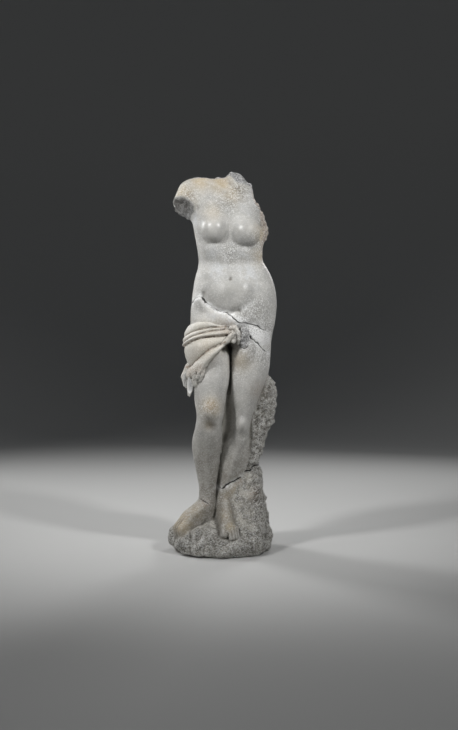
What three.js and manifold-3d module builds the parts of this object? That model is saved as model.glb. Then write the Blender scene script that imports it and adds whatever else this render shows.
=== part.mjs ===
// A headless standing Venus with a knotted cloth round the hips, a rough support beside the leg and
// a low rock base, all one cast stone. Millimetres, +Z up. The figure faces -Y, and the origin is on
// the underside, below the middle of the outline. Right and left are the figure's own.
import * as THREE from 'three';
import { LoftGeometry } from 'three/addons/geometries/LoftGeometry.js';
import { mergeVertices } from 'three/addons/utils/BufferGeometryUtils.js';
import Module from 'manifold-3d';

const wasm = await Module();
wasm.setup();

// Driving dimensions: where the outline runs at each named height of the body.
const TRUNK = {
  rows: 29, around: 32, square: 2.3, axisShare: 0.52,
  levels: [
    { at: 'inside the legs', z: 480, left: -60, right: 98, front: -5, back: 50 },
    { at: 'crotch', z: 540, left: -84, right: 124, front: -12, back: 78 },
    { at: 'below the hip', z: 566, left: -86, right: 129, front: -48, back: 84 },
    { at: 'buttock', z: 590, left: -87, right: 134, front: -68, back: 86 },
    { at: 'hip', z: 640, left: -87, right: 141, front: -70, back: 88 },
    { at: 'belly', z: 690, left: -80.5, right: 138, front: -69, back: 78 },
    { at: 'navel', z: 720, left: -76, right: 129.5, front: -63, back: 66 },
    { at: 'flank', z: 745, left: -69, right: 117, front: -58, back: 58 },
    { at: 'waist', z: 765, left: -66, right: 105.5, front: -58, back: 53 },
    { at: 'rib edge', z: 790, left: -68, right: 103, front: -61, back: 54 },
    { at: 'under the bust', z: 815, left: -72.5, right: 107, front: -63, back: 58 },
    { at: 'bust', z: 850, left: -79, right: 109, front: -62, back: 64 },
    { at: 'armpit', z: 885, left: -86, right: 109, front: -60, back: 68 },
    { at: 'collar', z: 930, left: -86, right: 104, front: -53, back: 68 },
    { at: 'neck root', z: 963, left: -80, right: 92, front: -41, back: 60 },
    { at: 'neck break', z: 985, left: -72, right: 76, front: -24, back: 46 },
    { at: 'above the break', z: 1010, left: -66, right: 60, front: -8, back: 34 },
  ],
};
const STANDING_LEG = {
  rows: 23, around: 16, square: 2.1, axisShare: 0.45,
  levels: [
    { at: 'in the rock', z: 60, left: -22, right: 14, front: -12, back: 36 },
    { at: 'heel', z: 95, left: -22, right: 14, front: -14, back: 38 },
    { at: 'ankle', z: 132, left: -20, right: 18, front: -15, back: 36 },
    { at: 'low shin', z: 160, left: -14, right: 31, front: -18, back: 39 },
    { at: 'shin', z: 190, left: -11.5, right: 47, front: -24, back: 44 },
    { at: 'calf end', z: 222, left: -10, right: 58, front: -31, back: 50 },
    { at: 'calf', z: 250, left: -8, right: 66, front: -36, back: 52 },
    { at: 'calf top', z: 275, left: -2, right: 67, front: -39, back: 47 },
    { at: 'below the knee', z: 300, left: 13, right: 68, front: -43, back: 38 },
    { at: 'knee', z: 320, left: 23, right: 69, front: -49, back: 33 },
    { at: 'knee top', z: 345, left: 26, right: 73, front: -53, back: 33 },
    { at: 'above the knee', z: 375, left: 25, right: 83, front: -56, back: 37 },
    { at: 'low thigh', z: 410, left: 24, right: 96, front: -60, back: 44 },
    { at: 'mid thigh', z: 440, left: 20.5, right: 108, front: -64, back: 52 },
    { at: 'thigh', z: 471, left: 17, right: 119, front: -66, back: 62 },
    { at: 'below the crotch', z: 514, left: 18, right: 124, front: -67, back: 74 },
    { at: 'crotch', z: 546, left: 27, right: 126, front: -65, back: 77 },
    { at: 'hip joint', z: 620, left: 18, right: 122, front: -52, back: 72 },
  ],
};
const RESTING_LEG = {
  rows: 23, around: 16, square: 2.1, axisShare: 0.45,
  levels: [
    { at: 'in the rock', z: 66, left: -64, right: -26, front: -14, back: 38 },
    { at: 'heel', z: 105, left: -66, right: -23, front: -16, back: 40 },
    { at: 'ankle', z: 138, left: -66, right: -21.5, front: -18, back: 36 },
    { at: 'low shin', z: 160, left: -65, right: -20, front: -19, back: 36 },
    { at: 'shin', z: 190, left: -69.5, right: -16, front: -25, back: 40 },
    { at: 'calf end', z: 222, left: -75.5, right: -11.5, front: -34, back: 43 },
    { at: 'low calf', z: 250, left: -81, right: -8, front: -44, back: 43 },
    { at: 'calf', z: 275, left: -83, right: -5.5, front: -54, back: 37 },
    { at: 'calf top', z: 300, left: -80.5, right: -5, front: -66, back: 24 },
    { at: 'below the knee', z: 330, left: -73, right: -5.5, front: -80, back: 10 },
    { at: 'knee', z: 357, left: -69.5, right: -1, front: -90, back: 10 },
    { at: 'above the knee', z: 385, left: -74, right: 3, front: -90, back: 20 },
    { at: 'low thigh', z: 410, left: -77, right: 7.5, front: -87, back: 30 },
    { at: 'mid thigh', z: 440, left: -79, right: 16, front: -84, back: 41 },
    { at: 'thigh', z: 471, left: -80, right: 23, front: -80, back: 52 },
    { at: 'below the crotch', z: 514, left: -83, right: 21, front: -75, back: 64 },
    { at: 'crotch', z: 546, left: -83, right: 8, front: -70, back: 70 },
    { at: 'hip joint', z: 620, left: -76, right: 14, front: -56, back: 66 },
  ],
};
// The stone left standing between the calves and thighs, behind their fronts.
const LEG_WEB = {
  rows: 8, around: 12, square: 3, axisShare: 0.5,
  levels: [
    { at: 'foot', z: 50, left: -52, right: 40, front: 10, back: 70 },
    { at: 'calves', z: 200, left: -46, right: 40, front: 6, back: 62 },
    { at: 'knees', z: 310, left: -34, right: 48, front: -12, back: 44 },
    { at: 'thighs', z: 430, left: -20, right: 56, front: -22, back: 44 },
    { at: 'crotch', z: 540, left: -10, right: 60, front: 0, back: 60 },
  ],
};
const SUPPORT = {
  rows: 16, around: 16, square: 2.6, axisShare: 0.5, waviness: 3.5,
  levels: [
    { at: 'in the base', z: 30, left: 10, right: 108, front: -84, back: 84 },
    { at: 'foot', z: 75, left: 20, right: 112, front: -56, back: 92 },
    { at: 'low', z: 131, left: 10, right: 105, front: -28, back: 96 },
    { at: 'below the crack', z: 190, left: 16, right: 99.5, front: -13, back: 93 },
    { at: 'crack', z: 222, left: 22, right: 94, front: -9, back: 91 },
    { at: 'narrow', z: 262, left: 30, right: 99, front: -7, back: 88 },
    { at: 'knee', z: 320, left: 42, right: 118.5, front: -7, back: 84 },
    { at: 'shoulder', z: 370, left: 50, right: 138, front: -5, back: 80 },
    { at: 'bulge', z: 398, left: 55, right: 140, front: -3, back: 77 },
    { at: 'neck', z: 440, left: 68, right: 132, front: 2, back: 66 },
    { at: 'top', z: 476, left: 84, right: 116, front: 16, back: 50 },
  ],
};
const BASE = {
  rows: 8, around: 36, square: 2, axisShare: 0.52, waviness: 3,
  levels: [
    { at: 'underside', z: 0, left: -116, right: 102, front: -107, back: 88 },
    { at: 'lower edge', z: 13, left: -133, right: 113, front: -116, back: 98 },
    { at: 'widest', z: 32, left: -139, right: 120, front: -118, back: 103 },
    { at: 'upper edge', z: 58, left: -131, right: 116, front: -104, back: 101 },
    { at: 'shoulder', z: 84, left: -104, right: 109, front: -84, back: 96 },
    { at: 'crown', z: 116, left: -66, right: 101, front: -66, back: 86 },
  ],
};
const BASE_TOP = { height: 88, riseBack: 0.49, riseRight: 0.04 };

// Soft forms that stand out from the front or the back of a body part, or sink into it.
const TRUNK_MOUNDS = [
  { at: 'slope of the right breast', back: false, x: -27, z: 852, half: 42, up: 74, down: 42, height: 15 },
  { at: 'slope of the left breast', back: false, x: 59, z: 846, half: 44, up: 70, down: 42, height: 15 },
  { at: 'belly', back: false, x: 17, z: 684, half: 66, up: 66, down: 58, height: 15 },
  { at: 'right ribs', back: false, x: -34, z: 790, half: 34, up: 32, down: 28, height: 4 },
  { at: 'left ribs', back: false, x: 68, z: 786, half: 36, up: 32, down: 28, height: 4 },
  { at: 'right buttock', back: true, x: -28, z: 584, half: 60, up: 82, down: 76, height: 24 },
  { at: 'left buttock', back: true, x: 70, z: 600, half: 62, up: 86, down: 78, height: 26 },
  { at: 'spine', back: true, x: 14, z: 800, half: 22, up: 160, down: 145, height: -11 },
  { at: 'right shoulder blade', back: true, x: -40, z: 896, half: 36, up: 54, down: 60, height: 11 },
  { at: 'left shoulder blade', back: true, x: 64, z: 892, half: 36, up: 54, down: 60, height: 11 },
];
const STANDING_LEG_MOUNDS = [
  { at: 'upper thigh', back: false, x: 50, z: 545, half: 38, up: 58, down: 66, height: 14 },
  { at: 'kneecap', back: false, x: 49, z: 336, half: 20, up: 24, down: 24, height: 8 },
];
const RESTING_LEG_MOUNDS = [
  { at: 'kneecap', back: false, x: -35, z: 368, half: 22, up: 28, down: 24, height: 10 },
];
const BREASTS = [
  { centre: [-24, -49, 843], radii: [33, 36, 37] },
  { centre: [60, -49, 836], radii: [36.5, 37, 38] },
];
const ARM_SCAR = { centre: [100, 10, 850], radii: [17, 28, 32] };
const ARM = { shoulder: [-80, 14, 942], end: [-114, -26, 885], shoulderRadius: 45, endRadius: 31 };
const ARM_BREAK = { point: [-100, -14, 902], facing: [-0.5, -0.54, -0.68] };

// The broken top edge, seen from the front: shoulder, throat, neck, then down the lost left arm's side.
const TOP_BREAK = [
  [-75, 988], [-30, 982], [6, 985], [12, 991], [19, 998], [45, 992], [51, 981], [61, 971], [63, 964],
  [74, 955], [76, 940], [79.5, 922], [83.5, 911], [97, 900], [100.5, 890], [107, 879], [109, 868],
  [118, 858], [122, 846],
];
const CUTTER_REACH = 200;

// The right foot is turned out and its toes are worn away into the edge of the rock. Each row of a
// strand is a point and the radius there.
const RIGHT_FOOT = [
  [[-46, 12, 118, 21], [-84, -20, 86, 27], [-110, -40, 60, 24]],
  [[-44, 2, 119, 15], [-72, -27, 91, 20], [-102, -52, 60, 18]],
  [[-42, -9, 118, 8], [-60, -33, 96, 10], [-79, -50, 79, 11], [-100, -62, 60, 11]],
];
const LEFT_FOOT = {
  heel: [-6, 38], ground: 104, turnDeg: 10, slopeDeg: 24, length: 154, around: 10, sink: 16,
  // share of the length from the heel, half width, height of the top
  sections: [
    { at: 0.0, half: 12, top: 20 }, { at: 0.08, half: 18, top: 36 }, { at: 0.26, half: 18, top: 52 },
    { at: 0.45, half: 19, top: 42 }, { at: 0.62, half: 20, top: 30 }, { at: 0.77, half: 22, top: 20 },
    { at: 0.85, half: 22, top: 14 }, { at: 0.89, half: 20, top: 9 },
  ],
  toeRoot: 0.74, toeRootTop: 22, toeLift: 0.7,
  toes: [
    { at: 'big', side: -12.5, reach: 0.925, radius: 8 },
    { at: 'second', side: 1.5, reach: 0.995, radius: 4.8 },
    { at: 'third', side: 9.5, reach: 0.985, radius: 4.3 },
    { at: 'fourth', side: 16.5, reach: 0.955, radius: 4 },
    { at: 'little', side: 23, reach: 0.915, radius: 3.8 },
  ],
};

// The cloth hangs on a wrap round the hip. Its rolls fan out from the knot, with a groove between each two.
const CLOTH = {
  steps: 22, rollSteps: 2, square: 2.2, axisShare: 0.5, inset: 36,
  from: -36, to: 232, plump: 0.85, hem: 0.86, fadeIn: 30, fadeOut: 60,
  levels: [
    { at: 'tail', z: 400, left: -80, right: 44, front: -86, back: 60 },
    { at: 'low', z: 470, left: -84, right: 46, front: -84, back: 74 },
    { at: 'thigh', z: 495, left: -86, right: 50, front: -81, back: 86 },
    { at: 'crotch', z: 515, left: -92, right: 56, front: -78, back: 95 },
    { at: 'middle', z: 540, left: -101, right: 60, front: -75, back: 104 },
    { at: 'hip', z: 562, left: -101, right: 62, front: -72, back: 109 },
    { at: 'upper roll', z: 588, left: -89, right: 62, front: -69, back: 110 },
    { at: 'top', z: 612, left: -79, right: 62, front: -67, back: 106 },
  ],
  // angle round the body from the front towards the right side, with the heights of the edges and grooves
  lines: [
    { at: -36, heights: [590, 587, 583, 568, 558, 547] },
    { at: -22, heights: [591, 588, 585, 567.5, 556, 546] },
    { at: -6, heights: [593, 588, 581, 565.5, 542, 526] },
    { at: 5, heights: [596, 587, 578.5, 563.5, 533, 509] },
    { at: 20, heights: [602, 585, 574, 561, 520, 488] },
    { at: 42, heights: [602, 579, 565, 553, 502, 466] },
    { at: 60, heights: [600, 571, 556, 545, 490, 456] },
    { at: 90, heights: [598, 563, 549, 538, 484, 452] },
    { at: 130, heights: [604, 572, 557, 545, 494, 462] },
    { at: 180, heights: [612, 586, 572, 557, 514, 486] },
    { at: 232, heights: [612, 596, 586, 574, 548, 528] },
  ],
  // from the top: most that a roll stands out, and how far its fullest part droops
  rolls: [
    { most: 9, droop: 0.8 }, { most: 7, droop: 1.2 }, { most: 15, droop: 1.5 },
    { most: 10, droop: 1.2 }, { most: 16, droop: 1.2 },
  ],
};
const KNOT = [
  [[0, -78, 544, 6.5], [10, -83, 552, 7.5], [18, -85, 563, 7.5], [26, -82, 569, 6], [24, -76, 576, 5]],
  [[27, -78, 560, 6], [26.5, -83, 551, 6.5]],
  [[20, -74, 585, 6], [31, -77, 586, 6.5], [38, -79, 572, 7], [39.5, -78, 556, 6], [38, -72, 546, 4.5]],
];
const BROKEN_END = {
  centre: [53, -62, 560], radii: [16, 24, 26], point: [53, -82, 560], facing: [0.2, -1, -0.15],
};
const TAILS = [
  [[-92, -20, 486, 9], [-102, -26, 460, 9.5], [-98, -30, 432, 6]],
  [[-80, -40, 478, 9], [-84, -49, 450, 9], [-87, -51, 426, 8], [-90, -50, 407, 2.5]],
  [[-66, -62, 488, 12], [-69, -65, 464, 12], [-71, -62, 441, 9]],
  [[-52, -74, 486, 8], [-57, -76, 466, 8], [-61, -72, 450, 6]],
  [[-80, -10, 486, 14], [-86, -34, 462, 12], [-76, -48, 448, 10]],
];

const STONE = { color: 0xb9b6ae, roughness: 0.62, metalness: 0 };
// How a soft form falls off from its middle, and the waves that make rock uneven.
const MOUND = { fall: 1.4, fullness: 0.9 };
const ROCK_WAVES = [
  { size: 0.5, turns: 5, climb: 0.021, start: 0 }, { size: 0.3, turns: 9, climb: -0.05, start: 1.3 },
  { size: 0.2, turns: 14, climb: 0.09, start: 4 },
];
const ROUND = { around: 14, down: 7, rod: 8, dome: 2 };
const SAME_POINT = 1e-3;

// A smooth curve through one size of the levels, read at a height.
function sizeAt(levels, key, z, axis = 'z') {
  const last = levels.length - 1;
  const slope = (i) => {
    const low = levels[Math.max(i - 1, 0)];
    const high = levels[Math.min(i + 1, last)];
    return (high[key] - low[key]) / (high[axis] - low[axis]);
  };
  let i = 0;
  while (i < last - 1 && levels[i + 1][axis] < z) i += 1;
  const step = levels[i + 1][axis] - levels[i][axis];
  const t = THREE.MathUtils.clamp((z - levels[i][axis]) / step, 0, 1);
  const rise = t * t * (3 - 2 * t);
  return levels[i][key] * (1 - rise) + levels[i + 1][key] * rise
    + step * (slope(i) * t * (1 - t) ** 2 - slope(i + 1) * t * t * (1 - t));
}

// How far a soft form stands out at a place across and up the body.
function moundHeight({ x, z, half, up, down, height }, across, high) {
  const off = Math.hypot((across - x) / half, (high - z) / (high > z ? up : down));
  return off < 1 ? height * (1 - off * off) ** MOUND.fall * (1 + MOUND.fullness * off * off) : 0;
}

// A point on the rounded outline at a height, at an angle from the right towards the back.
function outlinePoint(shape, z, angle, grow = 0) {
  const sides = ['left', 'right', 'front', 'back'];
  const [left, right, front, back] = sides.map((side) => sizeAt(shape.levels, side, z));
  const middle = front + (back - front) * shape.axisShare;
  const along = (s) => Math.sign(s) * Math.abs(s) ** (2 / shape.square);
  const depth = (Math.sin(angle) < 0 ? middle - front : back - middle) + grow;
  return new THREE.Vector3(
    (left + right) / 2 + ((right - left) / 2 + grow) * along(Math.cos(angle)),
    middle + depth * along(Math.sin(angle)),
    z,
  );
}

// Gentle unevenness of broken rock, the same on every run.
function rockWave(angle, z) {
  return ROCK_WAVES.reduce((sum, { size, turns, climb, start }) => (
    sum + size * Math.sin(turns * angle + climb * z + start)
  ), 0);
}

// A body part lofted through the outlines of its levels, with its soft forms.
function limb(shape, mounds = []) {
  const low = shape.levels[0].z;
  const high = shape.levels[shape.levels.length - 1].z;
  const sections = [];
  for (let row = 0; row <= shape.rows; row += 1) {
    const z = low + (high - low) * row / shape.rows;
    const section = [];
    for (let i = 0; i < shape.around; i += 1) {
      const angle = i / shape.around * Math.PI * 2;
      const point = outlinePoint(shape, z, angle, (shape.waviness ?? 0) * rockWave(angle, z));
      for (const mound of mounds) {
        if (mound.back === angle < Math.PI) point.y += (mound.back ? 1 : -1) * moundHeight(mound, point.x, z);
      }
      section.push(point);
    }
    sections.push(section);
  }
  return solid(new LoftGeometry(sections, { capStart: true, capEnd: true }));
}

// A closed geometry as a solid for joining and cutting.
function solid(geometry) {
  const bare = new THREE.BufferGeometry().copy(geometry);
  bare.deleteAttribute('normal');
  bare.deleteAttribute('uv');
  const merged = mergeVertices(bare, SAME_POINT);
  const index = merged.index.array;
  const triangles = [];
  for (let i = 0; i < index.length; i += 3) {
    const [a, b, c] = [index[i], index[i + 1], index[i + 2]];
    if (a !== b && b !== c && c !== a) triangles.push(a, b, c);
  }
  const { Manifold, Mesh } = wasm;
  return new Manifold(new Mesh({
    numProp: 3,
    vertProperties: new Float32Array(merged.attributes.position.array),
    triVerts: new Uint32Array(triangles),
  }));
}

function ellipsoid(centre, radii) {
  const ball = new THREE.SphereGeometry(1, ROUND.around, ROUND.down);
  return solid(ball.rotateX(Math.PI / 2).scale(...radii).translate(...centre));
}

// A round rod between two points that tapers, with domed ends.
function rod(from, to, fromRadius, toRadius) {
  const start = new THREE.Vector3(...from);
  const run = new THREE.Vector3(...to).sub(start);
  const length = run.length();
  const profile = [];
  for (let i = 0; i <= ROUND.dome; i += 1) {
    const dome = i / ROUND.dome * Math.PI / 2;
    profile.push(new THREE.Vector2(fromRadius * Math.sin(dome), -fromRadius * Math.cos(dome)));
  }
  for (let i = 0; i <= ROUND.dome; i += 1) {
    const dome = i / ROUND.dome * Math.PI / 2;
    profile.push(new THREE.Vector2(toRadius * Math.cos(dome), length + toRadius * Math.sin(dome)));
  }
  const turn = new THREE.Quaternion().setFromUnitVectors(new THREE.Vector3(0, 1, 0), run.normalize());
  return new THREE.LatheGeometry(profile, ROUND.rod).applyQuaternion(turn).translate(...from);
}

// Rods one after another along a strand.
function strand(rows) {
  return rows.slice(1)
    .map(([x, y, z, radius], i) => solid(rod(rows[i].slice(0, 3), [x, y, z], rows[i][3], radius)))
    .reduce((whole, piece) => whole.add(piece));
}

// Everything on the far side of a plane, as a large block.
function beyond(point, facing) {
  const block = new THREE.BoxGeometry(2 * CUTTER_REACH, 2 * CUTTER_REACH, 2 * CUTTER_REACH);
  const turn = new THREE.Quaternion().setFromUnitVectors(
    new THREE.Vector3(0, 0, 1),
    new THREE.Vector3(...facing).normalize(),
  );
  return solid(block.translate(0, 0, CUTTER_REACH).applyQuaternion(turn).translate(...point));
}

function trunk() {
  let body = limb(TRUNK, TRUNK_MOUNDS);
  for (const { centre, radii } of [...BREASTS, ARM_SCAR]) body = body.add(ellipsoid(centre, radii));
  return body.subtract(topBreak());
}

function topBreak() {
  const outline = new THREE.Shape();
  outline.moveTo(-CUTTER_REACH, TOP_BREAK[0][1]);
  for (const [x, z] of TOP_BREAK) outline.lineTo(x, z);
  outline.lineTo(CUTTER_REACH, TOP_BREAK[TOP_BREAK.length - 1][1]);
  const above = TOP_BREAK[0][1] + CUTTER_REACH;
  outline.lineTo(CUTTER_REACH, above);
  outline.lineTo(-CUTTER_REACH, above);
  const slab = new THREE.ExtrudeGeometry(outline, { depth: 2 * CUTTER_REACH, bevelEnabled: false });
  return solid(slab.translate(0, 0, -CUTTER_REACH).rotateX(Math.PI / 2));
}

function armStump() {
  return solid(rod(ARM.shoulder, ARM.end, ARM.shoulderRadius, ARM.endRadius))
    .subtract(beyond(ARM_BREAK.point, ARM_BREAK.facing))
    .subtract(topBreak());
}

function leftFoot() {
  const { heel, ground, turnDeg, slopeDeg, length, around, sink } = LEFT_FOOT;
  const { toes, toeRoot, toeRootTop, toeLift } = LEFT_FOOT;
  const placed = (geometry) => solid(geometry
    .rotateX(THREE.MathUtils.degToRad(slopeDeg))
    .rotateZ(THREE.MathUtils.degToRad(turnDeg))
    .translate(...heel, ground));
  const sections = LEFT_FOOT.sections.map(({ at, half, top }) => {
    const section = [];
    for (let i = 0; i < around; i += 1) {
      const angle = i / around * Math.PI * 2;
      const rise = Math.sin(angle) > 0 ? top : sink;
      section.push(new THREE.Vector3(half * Math.cos(angle), -at * length, rise * Math.sin(angle)));
    }
    return section;
  });
  return toes.reduce((made, { side, reach, radius }) => made.add(placed(rod(
    [side, -toeRoot * length, toeRootTop - radius],
    [side, radius - reach * length, radius * toeLift],
    radius,
    radius,
  ))), placed(new LoftGeometry(sections, { capStart: true, capEnd: true })));
}

// The cloth's outer edge from its hem up to its top at an angle, as heights with how far each stands out.
function rollProfile(degrees) {
  const grooves = CLOTH.lines[0].heights.map((_, i) => sizeAt(
    CLOTH.lines.map(({ at, heights }) => ({ at, height: heights[i] })),
    'height',
    degrees,
    'at',
  ));
  const fade = THREE.MathUtils.clamp((degrees - CLOTH.from) / CLOTH.fadeIn + 0.5, 0, 1)
    * THREE.MathUtils.clamp((CLOTH.to - degrees) / CLOTH.fadeOut, 0, 1);
  const profile = [];
  CLOTH.rolls.forEach(({ most, droop }, i) => {
    const width = grooves[i] - grooves[i + 1];
    const lowest = i === CLOTH.rolls.length - 1;
    for (let step = 0; step < CLOTH.rollSteps + (lowest ? 1 : 0); step += 1) {
      const share = step / CLOTH.rollSteps;
      const along = share ** droop * (lowest ? CLOTH.hem : 1);
      const out = Math.min(most, CLOTH.plump * width) * Math.sqrt(4 * along * (1 - along));
      profile.unshift({ z: grooves[i] - share * width, out: out * fade });
    }
  });
  return profile;
}

function drapery() {
  const sections = [];
  for (let step = 0; step <= CLOTH.steps; step += 1) {
    const degrees = CLOTH.from + (CLOTH.to - CLOTH.from) * step / CLOTH.steps;
    const angle = -THREE.MathUtils.degToRad(90 + degrees);
    const profile = rollProfile(degrees);
    const outer = profile.map(({ z, out }) => outlinePoint(CLOTH, z, angle, out));
    const [low, high] = [profile[0].z, profile[profile.length - 1].z];
    sections.push([
      outlinePoint(CLOTH, low, angle, -CLOTH.inset),
      ...outer,
      outlinePoint(CLOTH, high, angle, -CLOTH.inset),
    ]);
  }
  const wrap = solid(new LoftGeometry(sections, { capStart: true, capEnd: true }));
  const { centre, radii, point, facing } = BROKEN_END;
  const end = ellipsoid(centre, radii).subtract(beyond(point, facing));
  return [...KNOT, ...TAILS].reduce((made, rows) => made.add(strand(rows)), wrap.add(end));
}

function rockBase() {
  const { height, riseBack, riseRight } = BASE_TOP;
  return limb(BASE).subtract(beyond([0, 0, height], [-riseRight, -riseBack, 1]));
}

// One closed mesh of the joined stone, moved so that the origin is under the middle of its outline.
function stoneGeometry(stone) {
  const { numProp, numVert, vertProperties, triVerts } = stone.getMesh();
  const positions = new Float32Array(numVert * 3);
  for (let i = 0; i < numVert; i += 1) {
    positions.set(vertProperties.subarray(i * numProp, i * numProp + 3), i * 3);
  }
  const geometry = new THREE.BufferGeometry();
  geometry.setAttribute('position', new THREE.BufferAttribute(positions, 3));
  geometry.setIndex(new THREE.BufferAttribute(triVerts, 1));
  geometry.computeBoundingBox();
  const { min, max } = geometry.boundingBox;
  geometry.translate(-(min.x + max.x) / 2, -(min.y + max.y) / 2, -min.z);
  geometry.computeVertexNormals();
  return geometry;
}

const stone = [
  limb(STANDING_LEG, STANDING_LEG_MOUNDS), limb(RESTING_LEG, RESTING_LEG_MOUNDS), limb(LEG_WEB),
  limb(SUPPORT), rockBase(), armStump(), drapery(), leftFoot(), ...RIGHT_FOOT.map(strand),
].reduce((whole, piece) => whole.add(piece), trunk());

const statue = new THREE.Mesh(stoneGeometry(stone), new THREE.MeshStandardMaterial(STONE));
statue.name = 'venus_statue';

const part = new THREE.Group();
part.add(statue);

export default part;
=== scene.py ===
# A broken standing Venus with knotted drapery, worked as one stone.
import math
import bmesh
import bpy
import numpy as np
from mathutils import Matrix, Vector


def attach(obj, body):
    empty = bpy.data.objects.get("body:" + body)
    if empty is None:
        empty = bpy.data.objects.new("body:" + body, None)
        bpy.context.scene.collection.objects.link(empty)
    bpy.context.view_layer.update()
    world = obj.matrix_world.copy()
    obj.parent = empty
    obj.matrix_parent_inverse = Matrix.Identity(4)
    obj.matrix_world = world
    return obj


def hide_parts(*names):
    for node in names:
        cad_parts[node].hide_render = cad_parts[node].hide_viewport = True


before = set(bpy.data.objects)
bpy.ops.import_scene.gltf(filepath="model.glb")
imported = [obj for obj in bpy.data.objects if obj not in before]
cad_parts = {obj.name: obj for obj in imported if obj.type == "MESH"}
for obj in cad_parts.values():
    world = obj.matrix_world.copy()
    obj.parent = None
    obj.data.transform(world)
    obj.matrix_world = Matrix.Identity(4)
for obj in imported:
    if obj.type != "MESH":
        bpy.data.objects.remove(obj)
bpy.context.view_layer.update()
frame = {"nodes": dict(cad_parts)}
print("frame loaded:", ", ".join(frame["nodes"]))

# Sculpting is done in millimetres, the figure facing -Y, as distances that are below zero inside the stone.
mm = 0.001
sculpt = {
    "low": (-168.0, -136.0, -8.0),
    "high": (168.0, 128.0, 1016.0),
    "step": 5.0,          # spacing of the carving grid
    "middle": (2.4, 1.8, 0.0),   # what stands over the frame's origin
    "far": 70.0,          # distance given where a form isn't worked out
    "turnOver": 25.0,     # depth over which a form of the front or the back fades in
}
spans = {   # heights between which each form is worked out
    "trunk": (455, 1100), "arm": (820, 1100), "armScar": (800, 900), "legs": (40, 650),
    "innerThigh": (360, 600), "thighGroove": (390, 560), "feet": (20, 160), "cloth": (390, 640),
    "web": (30, 560), "base": (-20, 140), "support": (0, 500), "channel": (40, 190), "toeBed": (0, 100),
}


def smoothCurve(rows, column, at, key=1):   # a smooth curve through one column of a list of levels
    rows = sorted(rows, key=lambda row: row[key])
    places = np.array([row[key] for row in rows], np.float32)
    values = np.array([row[column] for row in rows], np.float32)
    slopes = np.gradient(values, places)
    at = np.clip(at, places[0], places[-1])
    i = np.clip(np.searchsorted(places, at, side="right") - 1, 0, len(places) - 2)
    width = places[i + 1] - places[i]
    t = (at - places[i]) / width
    rise = t * t * (3 - 2 * t)
    bend = t * (1 - t) ** 2 * slopes[i] - t * t * (1 - t) * slopes[i + 1]
    return values[i] * (1 - rise) + values[i + 1] * rise + width * bend


def joined(a, b, fillet):   # both forms, with a fillet where they meet
    near = np.maximum(fillet - np.abs(a - b), 0.0) / fillet
    return np.minimum(a, b) - near * near * fillet * 0.25


def within(a, b, edge):   # the part of a that is inside b
    near = np.maximum(edge - np.abs(a - b), 0.0) / edge
    return np.maximum(a, b) + near * near * edge * 0.25


def slab(p, name, form, elsewhere=sculpt["far"]):   # works a form out only in its own span of heights
    z = p[2].reshape(-1)
    low, high = spans[name]
    pick = (z > low) & (z < high)
    part = tuple(axis[..., pick] if axis.shape[-1] == pick.size else axis for axis in p)
    field = np.full(np.broadcast(*p).shape, elsewhere, np.float32)
    if pick.any():
        field[..., pick] = form(part)
    return field


def ellipsoid(p, centre, radii):
    q = [(p[i] - centre[i]) / radii[i] for i in range(3)]
    reach = np.sqrt(q[0] ** 2 + q[1] ** 2 + q[2] ** 2)
    steep = np.sqrt(sum((q[i] / radii[i]) ** 2 for i in range(3)))
    return reach * (reach - 1.0) / np.maximum(steep, 1e-6)


def taper(p, start, end, startRadius, endRadius):   # a round rod that narrows
    run = [end[i] - start[i] for i in range(3)]
    along = sum((p[i] - start[i]) * run[i] for i in range(3)) / sum(v * v for v in run)
    along = np.clip(along, 0.0, 1.0)
    gap = sum((p[i] - start[i] - along * run[i]) ** 2 for i in range(3))
    return np.sqrt(gap) - (startRadius + (endRadius - startRadius) * along)


def chain(p, rows):   # rods one after another, each row a point and its radius
    field = np.float32(sculpt["far"])
    for start, end in zip(rows[:-1], rows[1:]):
        field = np.minimum(field, taper(p, start[:3], end[:3], start[3], end[3]))
    return field


def plane(p, point, facing):
    size = math.sqrt(sum(v * v for v in facing))
    return sum((p[i] - point[i]) * facing[i] / size for i in range(3))


def outline(p, shape):   # distance to the rounded outline of a lofted form, and its own middle
    x, y, z = p
    left, right, front, back = (smoothCurve(shape["levels"], c, z) for c in (2, 3, 4, 5))
    midX = (left + right) / 2
    midY = front + (back - front) * shape["axisShare"]
    across = (x - midX) / ((right - left) / 2)
    deep = (y - midY) / np.where(y < midY, midY - front, back - midY)
    square = shape["square"]
    reach = np.maximum((np.abs(across) ** square + np.abs(deep) ** square) ** (1 / square), 0.02)
    away = np.sqrt((x - midX) ** 2 + (y - midY) ** 2 + 1e-6)
    return away * (1 - 1 / reach), across / reach, deep / reach


def lofted(p, shape):
    heights = [row[1] for row in shape["levels"]]
    field = outline(p, shape)[0]
    edge = shape.get("edge", 12.0)
    return within(within(field, p[2] - max(heights), edge), min(heights) - p[2], edge)


def facingShare(y, side):   # 1 in front (-1) or behind (+1), fading out past the middle
    return np.clip(side * y / sculpt["turnOver"] + 0.1, 0.0, 1.0)


def mounds(p, forms):   # how far soft forms stand out in front or behind
    x, y, z = p
    rise = 0.0
    for _, side, midX, midZ, half, up, down, height, fall, lean in forms:
        tall = np.where(z > midZ, up, down)
        off = ((x - midX - lean * (z - midZ)) / half) ** 2 + ((z - midZ) / tall) ** 2
        rise = rise + facingShare(y, side) * height * np.maximum(1 - off, 0.0) ** fall
    return rise


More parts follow.
